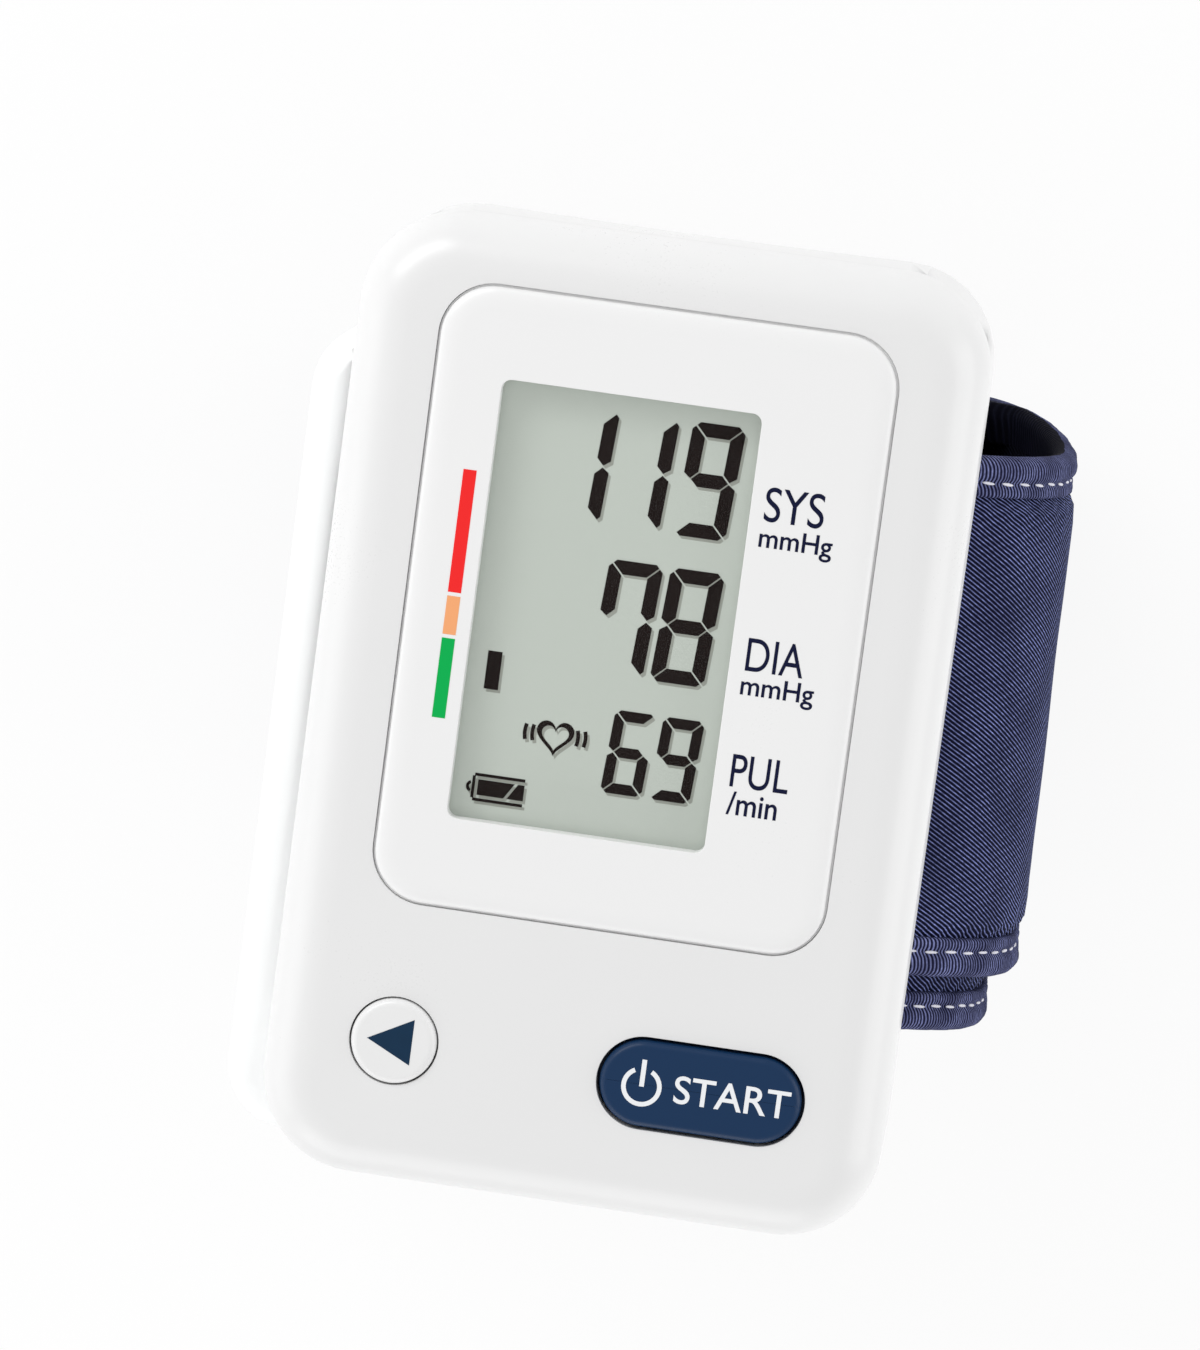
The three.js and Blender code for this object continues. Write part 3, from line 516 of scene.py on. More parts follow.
def barOutline(a, b, stroke):
    along = (Vector(b) - Vector(a)).normalized() * stroke / 2
    side = Vector((-along.y, along.x))
    return [tuple(Vector(p) + side * s) for p, s in ((a, 1), (b, 1), (b, -1), (a, -1))]


def boxOutline(left, bottom, right, top):
    return [(left, bottom), (right, bottom), (right, top), (left, top)]


# display: leaning digits of up to seven bars, a heart between waves, a cell and a block
displaySet = {
    "top": 71.22, "sink": 0.005, "thick": 0.04, "shift": (-0.18, -0.06),
    "segmentShadowShift": (0.24, -0.26), "lean": 0.06, "gap": 0.14, "clip": 0.5, "notch": 0.35,
    "bars": {"1": "bc", "6": "acdefg", "7": "abcf", "8": "abcdefg", "9": "abcdfg"},
    "rows": [("119", (-4.45, 1.0, 5.25), 23.85, 4.95, 10.55, 1.4),
             ("78", (-0.55, 5.02), 10.45, 5.05, 10.6, 1.4),
             ("69", (1.25, 5.66), -1.7, 3.9, 7.8, 1.1)],
    "heart": (-5.55, -1.25), "battery": (-10.2, -6.7), "block": (-11.9, 4.1),
    "blockHalf": (0.65, 1.75)}
heartSet = {
    "sizes": (3.76, 2.72), "steps": 48, "across": 16, "upright": (13, -5, -2, -1), "span": 17,
    "width": 0.485, "rise": 0.1, "waveReach": (2.1, 2.78), "waveRadius": 2.6, "waveRise": 0.25,
    "waveHalf": 16, "waveStroke": 0.34, "waveSteps": 6}
batterySet = {
    "stroke": 0.27, "nub": ((-2.25, 0.0), 0.42, 110, 250, 0.28, 8),
    "walls": [((-2.1, 1.15), (2.5, 1.15)), ((-2.1, -1.15), (2.5, -1.15)),
              ((-2.15, -1.01), (-2.15, 1.01))],
    "charge": [[(-1.75, -0.72), (0.7, -0.72), (1.6, 0.72), (-1.75, 0.72)],
               [(1.0, -0.72), (2.5, -0.72), (2.5, 0.72), (1.9, 0.72)]]}
inkFinish = mouldedFinish("display segments", srgb(28, 19, 18), 0.6, shade=0.1, bump=0.0, specular=0.05)
# painted shadow under the segments: a flat grey a little darker than the display glass
segmentShadowFinish = mouldedFinish("display segment shade", srgb(168, 172, 163), 0.6, shade=0.04, bump=0.0,
                            specular=0.1)


# bars from a width, a height and a stroke: m is half way up, e half a stroke, k and c clip the corners
def digitBars(s, digit, centre, w, h, t):
    m, e, k, n = h / 2, t / 2, t * s["clip"], t * s["notch"]
    c = k / 2
    bars = {"a": [(k, h), (w - k, h), (w - c, h - c), (w - t, h - t), (t, h - t), (c, h - c)],
            "b": [(w - c, h - c), (w, h - k), (w, m + n), (w - e, m), (w - t, m + e), (w - t, h - t)],
            "c": [(w, m - n), (w, k), (w - c, c), (w - t, t), (w - t, m - e), (w - e, m)],
            "d": [(k, 0), (c, c), (t, t), (w - t, t), (w - c, c), (w - k, 0)],
            "e": [(0, k), (0, m - n), (e, m), (t, m - e), (t, t), (c, c)],
            "f": [(0, h - k), (c, h - c), (t, h - t), (t, m + e), (e, m), (0, m + n)],
            "g": [(e, m), (t, m + e), (w - t, m + e), (w - e, m), (w - t, m - e), (t, m - e)]}
    middle = w - e if digit == "1" else w / 2
    outlines = []
    for name in s["bars"][digit]:
        outline = insetOutline(bars[name], s["gap"] / 2)
        leaning = [(x - middle + (y - m) * s["lean"], y - m) for x, y in outline]
        outlines += moved([leaning], centre)
    return outlines


def heartOutlines(s):
    heart = []
    for i in range(s["steps"]):
        t = 2 * math.pi * i / s["steps"]
        y = sum(part * math.cos((n + 1) * t) for n, part in enumerate(s["upright"])) / s["span"]
        heart.append((s["across"] * math.sin(t) ** 3 / s["span"] * s["width"], (y + s["rise"]) / 2))
    outlines = [[(x * size, y * size) for x, y in heart] for size in s["sizes"]]
    for reach in s["waveReach"]:
        for side in (-1, 1):
            centre = (side * (reach - s["waveRadius"]), s["waveRise"])
            first, last = 90 - side * 90 - s["waveHalf"], 90 - side * 90 + s["waveHalf"]
            wave = ringOutline(centre, s["waveRadius"], first, last, s["waveStroke"], s["waveSteps"])
            outlines.append(wave)
    return outlines


def batteryOutlines(s):
    return [barOutline(a, b, s["stroke"]) for a, b in s["walls"]] + [ringOutline(*s["nub"])] + s["charge"]


def displayOutlines(s):
    outlines = []
    for word, places, y, width, height, stroke in s["rows"]:
        for digit, x in zip(word, places):
            outlines += digitBars(s, digit, (x, y), width, height, stroke)
    outlines += moved(heartOutlines(heartSet), s["heart"])
    outlines += moved(batteryOutlines(batterySet), s["battery"])
    x, y = s["blockHalf"]
    outlines += moved([boxOutline(-x, -y, x, y)], s["block"])
    return moved(outlines, s["shift"])


def displayMarks(s):
    outlines = displayOutlines(s)
    low = s["top"] - s["sink"]
    marks = flatMarks("displaySegments", outlines, low, s["thick"])
    finishPiece(marks, inkFinish, "lcd_glass")
    # a painted shadow of the segments: a darker copy, shifted down and to the right, lying under them
    paintedShadow = flatMarks("displaySegmentShade", moved(outlines, s["segmentShadowShift"]), low, s["thick"] / 2)
    finishPiece(paintedShadow, segmentShadowFinish, "lcd_glass")


displayMarks(displaySet)
print("display made")


# words beside the display, with place, width, height and weight, and the three-colour scale
printSet = {
    "panelTop": 73.56, "keyTop": 73.46, "sink": 0.01, "thick": 0.03,
    "words": [("SYS", (13.1, 22.75), 5.35, 3.15, 0.0), ("mmHg", (13.6, 19.45), 6.6, 2.35, 0.04),
              ("DIA", (13.2, 9.1), 5.2, 3.0, 0.0), ("mmHg", (13.75, 6.0), 6.6, 2.35, 0.04),
              ("PUL", (13.25, -1.55), 5.25, 3.0, 0.0), ("/min", (12.9, -4.5), 4.55, 2.15, 0.04)],
    "barX": -16.25, "barWidth": 1.2, "barTop": 22.1, "barGap": 0.35,
    "bars": [("Red", 11.2, srgb(246, 42, 42)), ("Orange", 3.5, srgb(248, 172, 118)),
             ("Green", 7.3, srgb(0, 176, 80))]}
printNavy = mouldedFinish("navy print", srgb(12, 18, 50), 0.5, shade=0.1, specular=0.1)


def panelPrint(s):
    low = s["panelTop"] - s["sink"]
    words = [wordMark(*row, low, s["thick"]) for row in s["words"]]
    finishPiece(joinUp("panelWords", words), printNavy, "button_navy")
    left, right, top = s["barX"] - s["barWidth"] / 2, s["barX"] + s["barWidth"] / 2, s["barTop"]
    for name, length, color in s["bars"]:
        bar = flatMarks("scale" + name, [boxOutline(left, top - length, right, top)], low, s["thick"])
        ink = mouldedFinish(name.lower() + " print", color, 0.5, shade=0.05, specular=0.15)
        finishPiece(bar, ink, "panel_white")
        top -= length + s["barGap"]


# signs on the keys, placed from each key's middle
signSet = {
    "word": "START", "wordPlace": (2.95, 0.0), "wordForm": (10.6, 2.6, 0.03),
    "ring": ((-5.35, -0.2), 1.64, 118, 422, 0.42, 32), "stroke": ((-5.35, -0.2), (-5.35, 2.3), 0.44),
    "arrow": [(-2.4, 0.05), (1.72, 2.3), (1.72, -1.95)]}
printWhite = mouldedFinish("white print", srgb(240, 242, 245), 0.45)
signNavy = mouldedFinish("navy sign print", srgb(15, 47, 74), 0.5, shade=0.2, blotch=900.0, specular=0.15)


def keyPrint(s):
    low, thick = printSet["keyTop"] - printSet["sink"], printSet["thick"]
    x, y = keySet["start"][:2]
    place = (x + s["wordPlace"][0], y + s["wordPlace"][1])
    word = wordMark(s["word"], place, *s["wordForm"], low, thick)
    power = moved([ringOutline(*s["ring"]), barOutline(*s["stroke"])], (x, y))
    sign = flatMarks("powerSign", power, low, thick)
    finishPiece(joinUp("startWords", [word, sign]), printWhite, "button_white", body="start_button")
    arrow = flatMarks("recallArrow", moved([s["arrow"]], keySet["memory"][:2]), low, thick)
    finishPiece(arrow, signNavy, "button_navy", body="memory_button")


panelPrint(printSet)
keyPrint(signSet)
print("words and signs made")


# cuff outline round the wrist: two lower and two upper quarter ellipses with a flat foot and a short flat top
cuffSet = {
    "openingWidth": 62.9, "openingTop": 50.39, "band": 3.89, "lowerFlat": 27.6, "upperFlat": 4.0,
    "lowerShare": 20.0, "arcSteps": 400, "width": 51.3, "binding": 4.0, "fabric": 1.1,
    "skew": 5.8, "shift": 0.8, "footShift": 3.4, "footHeights": (5.0, 27.0), "narrow": 1.4,
    "narrowHeights": (24.0, 46.0), "taper": 0.0006, "innerEnd": 18.0, "join": 11.0, "ramp": 18.0,
    "flapStart": 19.2, "flapLength": 33.0, "flapInner": 4.19, "flapOuter": 6.19, "bend": (-3.2, 3.8)}


def cuffOutline(s):
    sideZ, half = s["band"] + s["lowerShare"], s["openingWidth"] / 2
    lowX, topX, topZ = s["lowerFlat"] / 2, s["upperFlat"] / 2, s["openingTop"] - sideZ
    arcs = [(lowX, half - lowX, s["lowerShare"], -90), (topX, half - topX, topZ, 0),
            (-topX, half - topX, topZ, 90), (-lowX, half - lowX, s["lowerShare"], 180)]
    points = []
    for x, across, upright, first in arcs:
        for step in range(s["arcSteps"] + 1):
            angle = math.radians(first + 90 * step / s["arcSteps"])
            point = (x + across * math.cos(angle), sideZ + upright * math.sin(angle))
            if not points or math.dist(points[-1], point) > nearly:
                points.append(point)
    points.append(points[0])
    lengths = [0.0]
    for a, b in zip(points, points[1:]):
        lengths.append(lengths[-1] + math.dist(a, b))
    return points, lengths


outlinePoints, outlineLengths = cuffOutline(cuffSet)
loopLength = outlineLengths[-1]
halfWidth = cuffSet["width"] / 2
innerHalf = halfWidth - cuffSet["binding"]
flapStart = loopLength + cuffSet["flapStart"]
flapEnd = flapStart + cuffSet["flapLength"]
flapMiddle = (flapStart + flapEnd) / 2
joinPlace = loopLength + cuffSet["join"]


def outlineAt(along):
    along = along % loopLength
    index = min(bisect.bisect_right(outlineLengths, along), len(outlineLengths) - 1) - 1
    a, b = outlinePoints[index], outlinePoints[index + 1]
    step = outlineLengths[index + 1] - outlineLengths[index]
    share = (along - outlineLengths[index]) / step
    point = (a[0] + (b[0] - a[0]) * share, a[1] + (b[1] - a[1]) * share)
    return point, ((b[0] - a[0]) / step, (b[1] - a[1]) / step)


def smoothStep(value, low, high):
    share = min(max((value - low) / (high - low), 0.0), 1.0)
    return share * share * (3 - 2 * share)


# a point on the cuff: along the wrap, out from the skin, and across the band
def cuffPoint(along, out, across):
    s = cuffSet
    (x, z), (alongX, alongZ) = outlineAt(along)
    drift = s["skew"] * ((along - flapMiddle) / loopLength) + s["shift"]
    drift += s["footShift"] * (1 - smoothStep(z, *s["footHeights"]))
    drift += s["narrow"] * smoothStep(z, *s["narrowHeights"]) * (0.5 - across / s["width"])
    taper = 1 - s["taper"] * across
    return Vector(((x + alongZ * out) * taper, across + drift, z - alongX * out)) * mm


# the twill's two sides, which ramp over the start of the wrap
def lift(along):
    return smoothStep(along, loopLength, loopLength + cuffSet["ramp"])


def fabricOuter(along):
    return cuffSet["band"] + (cuffSet["flapOuter"] - cuffSet["band"]) * lift(along)


def fabricInner(along):
    low = cuffSet["band"] - cuffSet["fabric"]
    return low + (cuffSet["flapInner"] - low) * lift(along)


# layers, with inner side, outer side and half width of the sheets, and how finely they are meshed
layerSet = {
    # the black lining reaches past the bindings' inner edges and covers their inner sides: there it is a dark
    # sheet standing in for shade
    "lining": (-0.25, 0.7, 25.2), "liningEnd": 16.8, "bladder": (0.83, 1.83, 20.53), "bladderStart": 1.0,
    "hookThick": 0.7, "hookHalf": 19.5, "hookStart": 4.0, "tip": 2.4, "tipRaised": 0.3, "tipRound": 1.2,
    "tipLeast": 0.02, "tipLap": 0.6, "clothLap": 0.5, "rounds": (0.2, 0.2), "roundShare": 0.49,
    "roundSteps": 2, "clothSteps": 26, "sheetSteps": 10, "tipSteps": 16, "pitch": 1.4,
    "clothPitch": 0.7, "tipPitch": 0.4, "smoothAngle": 50}


# rounded section of a layer, as out and across pairs from the inner side round to the outer side
def layerSection(inner, outer, low, high, rounds, steps, acrossSteps):
    first, second = (min(radius, (outer - inner) * layerSet["roundShare"]) for radius in rounds)
    corners = [(low + first, inner + first, first, 180), (high - second, inner + second, second, 270),
               (high - second, outer - second, second, 0), (low + first, outer - first, first, 90)]
    section = []
    for number, (across, out, radius, start) in enumerate(corners):
        for step in range(steps + 1):
            angle = math.radians(start + 90 * step / steps)
            section.append((out + radius * math.sin(angle), across + radius * math.cos(angle)))
        if number in (0, 2):
            begin, goal = section[-1], corners[number + 1][0]
            for step in range(1, acrossSteps):
                section.append((begin[0], begin[1] + (goal - begin[1]) * step / acrossSteps))
    return section


def thinSection(inner, outer, half, acrossSteps):
    return layerSection(inner, outer, -half, half, layerSet["rounds"], layerSet["roundSteps"], acrossSteps)


def sheetSection(inner, outer, half):
    return lambda along: thinSection(inner, outer, half, layerSet["sheetSteps"])


def linkMesh(name, mesh):
    data = bpy.data.meshes.new(name)
    mesh.to_mesh(data)
    mesh.free()
    piece = bpy.data.objects.new(name, data)
    scene.collection.objects.link(piece)
    return piece


# a layer of the cuff as one closed mesh, with its own UV map: along the wrap and round the section, in metres
def cuffLayer(name, first, last, sectionAt, move=None, pitch=layerSet["pitch"]):
    count = max(2, round((last - first) / pitch))
    places = [first + (last - first) * i / count for i in range(count + 1)]
    mesh = bmesh.new()
    cloth = mesh.loops.layers.uv.new("cloth")
    shadedInside = mesh.verts.layers.float.new("shadedInside")
    rings, girths = [], []
    for along in places:
        section = sectionAt(along)
        ring = []
        middle = (min(section)[0] + max(section)[0]) / 2
        for out, across in section:
            swell = move(along, out, across) if move else 0.0
            place = cuffPoint(along, out + swell, across)
            place.z = max(place.z, 0.0)  # flat where it rests
            ring.append(mesh.verts.new(place))
            # the inner half of each layer is marked for painted shade in the cloth finishes
            ring[-1][shadedInside] = 1.0 if out < middle else 0.0
        rings.append(ring)
        girth = [0.0]
        for a, b in zip(section, section[1:] + section[:1]):
            girth.append(girth[-1] + math.dist(a, b))
        girths.append(girth)
    size = len(rings[0])
    for i in range(count):
        for j in range(size):
            k = (j + 1) % size
            face = mesh.faces.new((rings[i][j], rings[i][k], rings[i + 1][k], rings[i + 1][j]))
            marks = ((i, j), (i, j + 1), (i + 1, j + 1), (i + 1, j))
            for loop, (a, b) in zip(face.loops, marks):
                loop[cloth].uv = (places[a] * mm, girths[a][b] * mm)
    for ring, along in ((rings[0], places[0]), (rings[-1], places[-1])):
        cap = mesh.faces.new(ring)
        for loop, across in zip(cap.loops, girths[0]):
            loop[cloth].uv = (along * mm, across * mm)
    bmesh.ops.recalc_face_normals(mesh, faces=mesh.faces)
    piece = linkMesh(name, mesh)
    smooth(piece, layerSet["smoothAngle"])
    return piece


# twill between the bindings: a low crown, a dip and small gathers beside each seam, and a few slow waves
clothSet = {
    "crown": 0.85, "crownReach": 0.8, "dip": 0.55, "dipReach": 0.5, "gather": 0.15,
    "gatherReach": 2.4, "gatherPace": 2.3, "gatherDrift": 1.1, "driftPace": 0.31, "wave": 0.12,
    "waves": ((0.33, 0.12, 0.8), (0.05, 0.17, 0.0)), "lapShare": 0.35, "lapReach": 4.0,
    "caseHeights": (36.0, 44.0), "strapThinner": 0.6, "strapThinning": 1.5, "strapLap": 0.6}


# how far the padding swells: less under the free end, none below the case
def fullness(along):
    s = clothSet
    (x, z), tangent = outlineAt(along)
    under = along < loopLength and along < flapEnd - loopLength + s["lapReach"]
    return (s["lapShare"] if under else 1.0) * (1 - smoothStep(z, *s["caseHeights"]))


def clothMove(along, out, across):
    if out < (fabricInner(along) + fabricOuter(along)) / 2:
        return 0.0
    s, far = clothSet, innerHalf - abs(across)
    crown = s["crown"] * (1 - math.exp(-max(0.0, far) / s["crownReach"]))
    dip = -s["dip"] * math.exp(-(far / s["dipReach"]) ** 2)
    drift = s["gatherDrift"] * math.sin(along * s["driftPace"])
    gather = s["gather"] * math.exp(-far / s["gatherReach"])
    gather *= math.sin(along * s["gatherPace"] + drift + across)
    wave = s["wave"] * max(0.0, 1 - (across / innerHalf) ** 2)
    for pace, slant, start in s["waves"]:
        wave *= math.sin(along * pace + across * slant + start)
    return (crown + wave) * fullness(along) + gather + dip


def clothSection(along):
    thinner = clothSet["strapThinner"] * smoothStep(along, flapStart, flapStart + clothSet["strapThinning"])
    half = innerHalf + layerSet["clothLap"]
    return thinSection(fabricInner(along) + thinner, fabricOuter(along), half, layerSet["clothSteps"])


# woven cloth as a group: slanted raised lines, small floats along them, streaks of worn light thread, and
# painted shade darkening the inner half of each layer
wovenSet = {
    "slow": 130.0, "fine": 2600.0, "floatSlant": 0.5, "floatDepth": (0.2, 0.8),
    "worn": (0.9, 0.1), "blotch": (0.9, 0.2), "bright": 1.9, "insidePaintedShade": -0.85,
    "roughSpread": 0.15, "fuzz": 0.25, "bump": 0.9, "specular": 0.05, "sheenRoughness": 0.4}


def wovenGroup(s):
    group, given, out = newGroup("woven cloth", "Dark Light", "Along Round Float Wander Sharp Roughness")

    def sums(operation, *values):
        return maths(group, operation, *values)

    uv = addNode(group, "ShaderNodeUVMap", uv_map="cloth").outputs["UV"]
    uv = addNode(group, "ShaderNodeSeparateXYZ", {"Vector": uv}).outputs
    place = addNode(group, "ShaderNodeTexCoord").outputs["Object"]
    slow = noise(group, place, s["slow"])
    fine = noise(group, place, s["fine"])
    phase = sums("MULTIPLY_ADD", uv["Y"], given["Round"], sums("MULTIPLY", uv["X"], given["Along"]))
    phase = sums("MULTIPLY_ADD", slow, given["Wander"], phase)
    line = sums("POWER", sums("MULTIPLY_ADD", sums("SINE", phase), 0.5, 0.5), given["Sharp"])
    cross = sums("MULTIPLY", uv["X"], given["Float"])
    cross = sums("SUBTRACT", cross, sums("MULTIPLY", phase, s["floatSlant"]))
    height = sums("MULTIPLY", line, sums("MULTIPLY_ADD", sums("SINE", cross), *s["floatDepth"]))
    worn = sums("MULTIPLY", height, sums("MULTIPLY_ADD", fine, *s["worn"]))
    blotch = sums("MULTIPLY", sums("MULTIPLY_ADD", slow, *s["blotch"]), s["bright"])
    # painted shade: the marked inner half is made much darker
    shadedInside = addNode(group, "ShaderNodeAttribute", attribute_name="shadedInside").outputs["Fac"]
    outer = sums("MULTIPLY_ADD", shadedInside, s["insidePaintedShade"], 1.0)
    share = sums("MULTIPLY", sums("MULTIPLY", worn, blotch), outer)
    tint = addNode(group, "ShaderNodeMix", {"Factor": share, "A": given["Dark"], "B": given["Light"]},
                   data_type="RGBA", clamp_factor=True)
    tone = addNode(group, "ShaderNodeVectorMath", {0: tint.outputs["Result"], "Scale": outer},
                   operation="SCALE")
    feed(group, out, {"Color": tone.outputs[0], "Height": sums("MULTIPLY_ADD", fine, s["fuzz"], height),
                      "Roughness": sums("MULTIPLY_ADD", fine, s["roughSpread"], given["Roughness"])})
    return group


woven = wovenGroup(wovenSet)


def wovenFinish(name, dark, light, along, around, floats, wander, sharp, roughness=0.7, depth=0.1, sheen=0.0):
    inputs = {"Dark": dark, "Light": light, "Along": along, "Round": around, "Float": floats,
              "Wander": wander, "Sharp": sharp, "Roughness": roughness}
    return groupFinish(name, woven, inputs, wovenSet["bump"], depth, {
        "Specular IOR Level": wovenSet["specular"], "Sheen Weight": sheen,
        "Sheen Roughness": wovenSet["sheenRoughness"]})


# lines as angles per metre: a full turn each 0.36 mm across the twill lines, 0.4 mm for the bindings
turn = 2 * math.pi / mm
twillCloth = wovenFinish("navy twill", srgb(3, 4, 28), srgb(162, 174, 244), 1.47 * turn, 2.33 * turn,
                         turn / 0.9, wander=4.0, sharp=4.6)
bindingCloth = wovenFinish("navy ribbed binding", srgb(9, 10, 38), srgb(146, 153, 208), turn / 0.4,
                           0.12 * turn / 0.4, turn / 0.7, wander=5.0, sharp=2.0)
pileCloth = wovenFinish("black looped lining", srgb(7, 7, 10), srgb(38, 38, 52), turn / 0.8, turn / 0.8,
                        turn / 0.5, wander=14.0, sharp=1.0, roughness=0.85, depth=0.2, sheen=0.02)
hookCloth = wovenFinish("black hook tape", srgb(12, 12, 16), srgb(52, 54, 66), turn / 1.1, 0.05 * turn,
                        turn / 1.1, wander=1.0, sharp=0.8, roughness=0.6, depth=0.3)
threadWhite = mouldedFinish("white stitching thread", srgb(232, 232, 242), 0.65, shade=0.25, blotch=900.0,
                            grain=9000.0, bump=0.3, depth=0.03)
bladderRubber = mouldedFinish("grey bladder rubber", srgb(70, 72, 80), 0.6, shade=0.12, bump=0.2)


# bindings: a soft puckered roll pinched along its stitches, which leaves the skin where the free end starts
bindingSet = {
    "raised": 0.44, "low": -0.12, "leave": (13.5, 17.0), "leaveRise": 0.14, "rounds": (1.4, 0.45),
    "roundSteps": 5, "acrossSteps": 12, "pinch": 0.3, "pinchReach": 0.4, "roll": 0.18,
    "pucker": 0.05, "slowPace": 1.9, "slowDrift": 0.7, "driftPace": 0.23, "fineShare": 0.7,
    "finePace": 3.7, "fineSlant": 1.3}
stitchSet = {
    "inset": 2.6, "length": 1.95, "pitch": 2.35, "thick": 0.29, "flatter": 1.15, "sides": 8,
    "rings": 6, "stray": 0.04, "strayPace": 3.9, "turned": 0.1, "turnPace": 2.7, "reach": 0.4,
    "lowest": 0.1, "sink": 0.26, "innerOut": -0.16, "startGap": 0.6, "endGap": 1.0}


def bindingMove(along, out, across):
    if out < fabricOuter(along) * 0.5 + 0.5 * fabricInner(along) * lift(along):
        return 0.0
    s, far, inset = bindingSet, halfWidth - abs(across), stitchSet["inset"]
    pinch = -s["pinch"] * math.exp(-((far - inset) / s["pinchReach"]) ** 2)
    roll = s["roll"] * math.sin(math.pi * min(far / inset, 1.0))
    pucker = math.sin(along * s["slowPace"] + s["slowDrift"] * math.sin(along * s["driftPace"]))
    pucker += s["fineShare"] * math.sin(along * s["finePace"] + s["fineSlant"] * across)
    return pinch + roll + s["pucker"] * pucker


def bindingSection(side):
    s = bindingSet
    low, high = sorted((side * innerHalf, side * halfWidth))
    rounds = s["rounds"] if side < 0 else s["rounds"][::-1]

    def sectionAt(along):
        leave = smoothStep(along, loopLength + s["leave"][0], loopLength + s["leave"][1])
        inner = s["low"] + (cuffSet["flapInner"] + s["leaveRise"]) * leave
        outer = fabricOuter(along) + s["raised"]
        return layerSection(inner, outer, low, high, rounds, s["roundSteps"], s["acrossSteps"])

    return sectionAt


# the end binding closes in a half round at the very tip
def tipSection(along):
    s, inner = layerSet, cuffSet["flapInner"]
    half = (cuffSet["flapOuter"] + s["tipRaised"] - inner) / 2
    near = max(0.0, 1 - (flapEnd - along) / s["tipRound"])
    thick = half * math.sqrt(max(1 - near ** 2, s["tipLeast"]))
    middle = inner + half
    return thinSection(middle - thick, middle + thick, innerHalf + s["tipLap"], s["tipSteps"])


# pieces of the free end: baked in place and given their finish
def finishFlap(piece, material, slot, *nodes):
    start, end = (cuffPoint(flapStart + by, cuffSet["flapInner"], 0) for by in cuffSet["bend"])
    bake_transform(piece)
    dressPiece(piece, material, nodes)


def makeCuff(s, g):
    begin, fine = s["innerEnd"], g["clothPitch"]
    cloth = cuffLayer("cuffCloth", begin, joinPlace, clothSection, clothMove, fine)
    finishPiece(cloth, twillCloth, "cuff_fabric", "cuff_band")
    end = flapEnd - g["tip"] + clothSet["strapLap"]
    strap = cuffLayer("strapCloth", joinPlace, end, clothSection, clothMove, fine)
    finishFlap(strap, twillCloth, "cuff_fabric", "cuff_flap")
    for side, name in ((-1, "arm"), (1, "hand")):
        section = bindingSection(side)
        edge = cuffLayer(name + "Binding", begin, joinPlace, section, bindingMove, fine)
        finishPiece(edge, bindingCloth, "binding_fabric", "binding_" + name)
        edge = cuffLayer(name + "StrapBinding", joinPlace, flapEnd, section, bindingMove, fine)
        finishFlap(edge, bindingCloth, "binding_fabric", "flap_binding_" + name)
    lining = cuffLayer("liningPile", begin, loopLength + g["liningEnd"], sheetSection(*g["lining"]))
    finishPiece(lining, pileCloth, "lining_fabric", "cuff_lining")
    bladder = cuffLayer("bladderSheet", begin + g["bladderStart"], loopLength, sheetSection(*g["bladder"]))
    finishPiece(bladder, bladderRubber, "bladder_rubber", "bladder")
    section = sheetSection(s["flapInner"], s["flapInner"] + g["hookThick"], g["hookHalf"])
    hooks = cuffLayer("hookTape", flapStart + g["hookStart"], flapEnd - s["binding"], section)
    finishPiece(hooks, hookCloth, "lining_fabric", "hook_patch", body="cuff_flap")
    tip = cuffLayer("tipBinding", flapEnd - g["tip"], flapEnd, tipSection, pitch=g["tipPitch"])
    finishPiece(tip, bindingCloth, "binding_fabric", "flap_binding_tip", body="cuff_flap")


makeCuff(cuffSet, layerSet)
print("cuff made")


# small stitches, one shape copied along each seam
def stitchShape(s):
    deselectAll()
    bpy.ops.mesh.primitive_uv_sphere_add(segments=s["sides"], ring_count=s["rings"], radius=0.5)
    bpy.context.object.scale = (s["length"] * mm, s["thick"] * s["flatter"] * mm, s["thick"] * mm)
    return settle("stitch")


def seam(s, first, last, across, outAt):
    rows = []
    for i in range(int((last - first) / s["pitch"])):
        along = first + s["pitch"] * (i + 0.5)
        out, place = outAt(along), across + s["stray"] * math.sin(along * s["strayPace"] + across)
        here = cuffPoint(along, out, place)
        here.z = max(here.z, s["lowest"] * mm)
        before, after = (cuffPoint(along + by, out, place) for by in (-s["reach"], s["reach"]))
        ahead = (after - before).normalized()
        away = (cuffPoint(along, out + 1, place) - here).normalized()
        side = away.cross(ahead).normalized()
        turned = (ahead + side * s["turned"] * math.sin(along * s["turnPace"] + place)).normalized()
        frameTurn = Matrix((turned, away.cross(turned), away)).transposed().to_4x4()
        rows.append(Matrix.Translation(here) @ frameTurn)
    return rows


def stitchPiece(name, rows, shape):
    mesh = bmesh.new()
    for row in rows:
        copy = shape.data.copy()
        copy.transform(row)
        mesh.from_mesh(copy)
        bpy.data.meshes.remove(copy)
    piece = linkMesh(name, mesh)
    takeUp(piece)
    bpy.ops.object.shade_smooth()
    return piece


def seamOut(along):
    return fabricOuter(along) + bindingSet["raised"] - stitchSet["sink"]


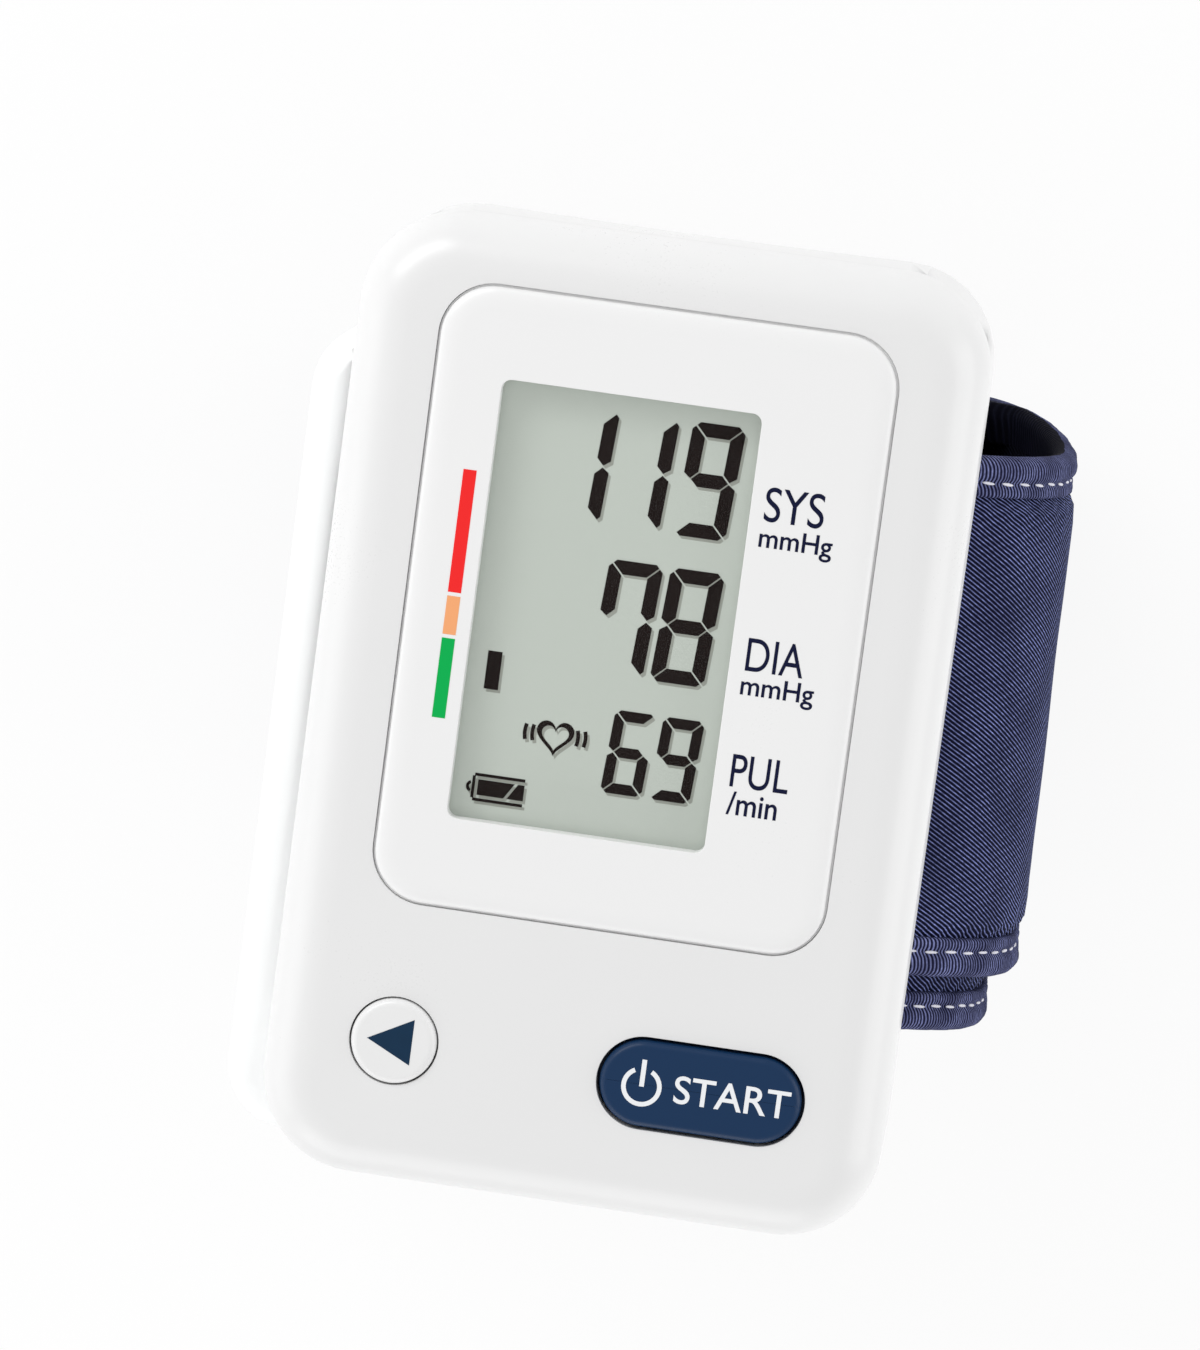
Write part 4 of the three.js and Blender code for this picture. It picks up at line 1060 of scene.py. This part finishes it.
def makeSeams(s):
    shape = stitchShape(s)
    begin, fixed, moving = cuffSet["innerEnd"] + s["startGap"], [], []
    for side in (-1, 1):
        across = side * (halfWidth - s["inset"])
        fixed += seam(s, begin, joinPlace, across, seamOut)
        fixed += seam(s, begin, joinPlace, across, lambda along: s["innerOut"])
        moving += seam(s, joinPlace, flapEnd - s["endGap"], across, seamOut)
    finishPiece(stitchPiece("cuffStitches", fixed, shape), threadWhite, "binding_fabric")
    finishFlap(stitchPiece("strapStitches", moving, shape), threadWhite, "binding_fabric")
    bpy.data.objects.remove(shape, do_unlink=True)


makeSeams(stitchSet)
print("stitches made")


# rear shell and battery cover: merged copies of the solids, with smooth shading over their rounds
copySet = {"merge": 0.002, "smoothAngle": 32}
coverPlastic = mouldedFinish("cover white plastic", srgb(249, 250, 250), 0.34, shade=0.02, bump=0.06)


def smoothCopy(node, name, material, slot, body="monitor"):
    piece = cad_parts[node].copy()
    piece.data = piece.data.copy()
    piece.name = name
    piece.parent = None
    scene.collection.objects.link(piece)
    piece.matrix_world = Matrix.Identity(4)
    openMesh(piece, "VERT")
    bpy.ops.mesh.select_all(action="SELECT")
    bpy.ops.mesh.remove_doubles(threshold=copySet["merge"] * mm)
    smooth(piece, copySet["smoothAngle"])
    return finishPiece(piece, material, slot, node, body=body)


smoothCopy("rear_case", "rearShell", casePlastic, "case_white")
smoothCopy("battery_cover", "batteryCover", coverPlastic, "case_white", body="battery_cover")
print("rear shell and cover made")


# rubber domes under the keys: smooth copies of the solids
domeSet = {
    "travel": 0.8, "domes": [("start_key_dome", "startDome", "start_press"),
                             ("memory_key_dome", "memoryDome", "memory_press")]}
domeRubber = mouldedFinish("grey key rubber", srgb(150, 156, 162), 0.7, shade=0.1, bump=0.2)


def keyDomes(s):
    for node, name, joint in s["domes"]:
        dome = smoothCopy(node, name, domeRubber, "zebra_rubber")
        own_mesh(dome)


keyDomes(domeSet)
print("key domes made")


# clear window: mostly see-through, with a faint smudged gloss
windowSet = {
    "Color": srgb(70, 72, 70), "Shade": 0.1, "Blotch": 90.0, "Grain": 3000.0, "Roughness": 0.08,
    "Spread": 0.06}
windowFinish = groupFinish("clear window", moulded, windowSet, 0.0, 0.0, {"Alpha": 0.05, "IOR": 1.35})
giveMaterial(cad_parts["display_window"], windowFinish)


# finishes of the solids that are shown as they are: colour, roughness, shade and bump, then what differs
solidFinishes = [
    # the display glass glows a little: painted light that brightens it where its recess shades it
    ("display glass", (177, 184, 176), 0.4, 0.03, 0.03, {"blotch": 40.0, "glow": 0.38}, "lcd_module"),
    ("white frame plastic", (228, 228, 226), 0.5, 0.04, 0.05, {}, "lcd_frame"),
    ("pink contact rubber", (214, 140, 152), 0.75, 0.15, 0.2, {"blotch": 400.0}, "lcd_connector"),
    ("green board lacquer", (30, 104, 58), 0.4, 0.25, 0.1, {"blotch": 180.0}, "circuit_board"),
    ("dark pump plastic", (58, 61, 66), 0.5, 0.15, 0.2, {}, "pump_head"),
    ("cream valve plastic", (218, 214, 198), 0.5, 0.08, 0.15, {}, "exhaust_valve"),
    ("grey manifold plastic", (86, 90, 96), 0.5, 0.12, 0.15, {}, "air_manifold"),
    ("black sensor resin", (40, 42, 46), 0.45, 0.15, 0.15, {}, "pressure_sensor"),
    ("grey plate plastic", (104, 107, 114), 0.5, 0.1, 0.2, {}, "cuff_plate"),
    ("grey nipple rubber", (84, 88, 94), 0.65, 0.12, 0.2, {}, "cuff_nipple"),
    ("clear grey curler plastic", (205, 210, 216), 0.35, 0.06, 0.05, {}, "curler"),
    ("bright spring steel", (196, 200, 205), 0.28, 0.2, 0.1, {"blotch": 200.0, "metallic": 1.0},
     "contact_bridge", "contact_negative", "contact_positive", "negative_spring", "bridge_spring",
     "pump_motor"),
    ("zinc screw steel", (188, 190, 192), 0.34, 0.25, 0.15, {"blotch": 500.0, "metallic": 1.0},
     "case_screw_1", "case_screw_2", "case_screw_3", "case_screw_4"),
    ("green cell wrap", (40, 104, 74), 0.32, 0.2, 0.05, {"blotch": 120.0, "metallic": 0.35},
     "battery_cell_outer", "battery_cell_inner"),
    ("milky silicone tube", (226, 222, 210), 0.5, 0.08, 0.1, {"subsurface": 0.15}, "pump_tube",
     "sensor_tube"),
]
for name, color, roughness, shade, bump, rest, *nodes in solidFinishes:
    material = mouldedFinish(name, srgb(*color), roughness, shade=shade, bump=bump, **rest)
    for node in nodes:
        giveMaterial(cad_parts[node], material)
print("inner parts finished:", len(solidFinishes) + 1, "finishes")
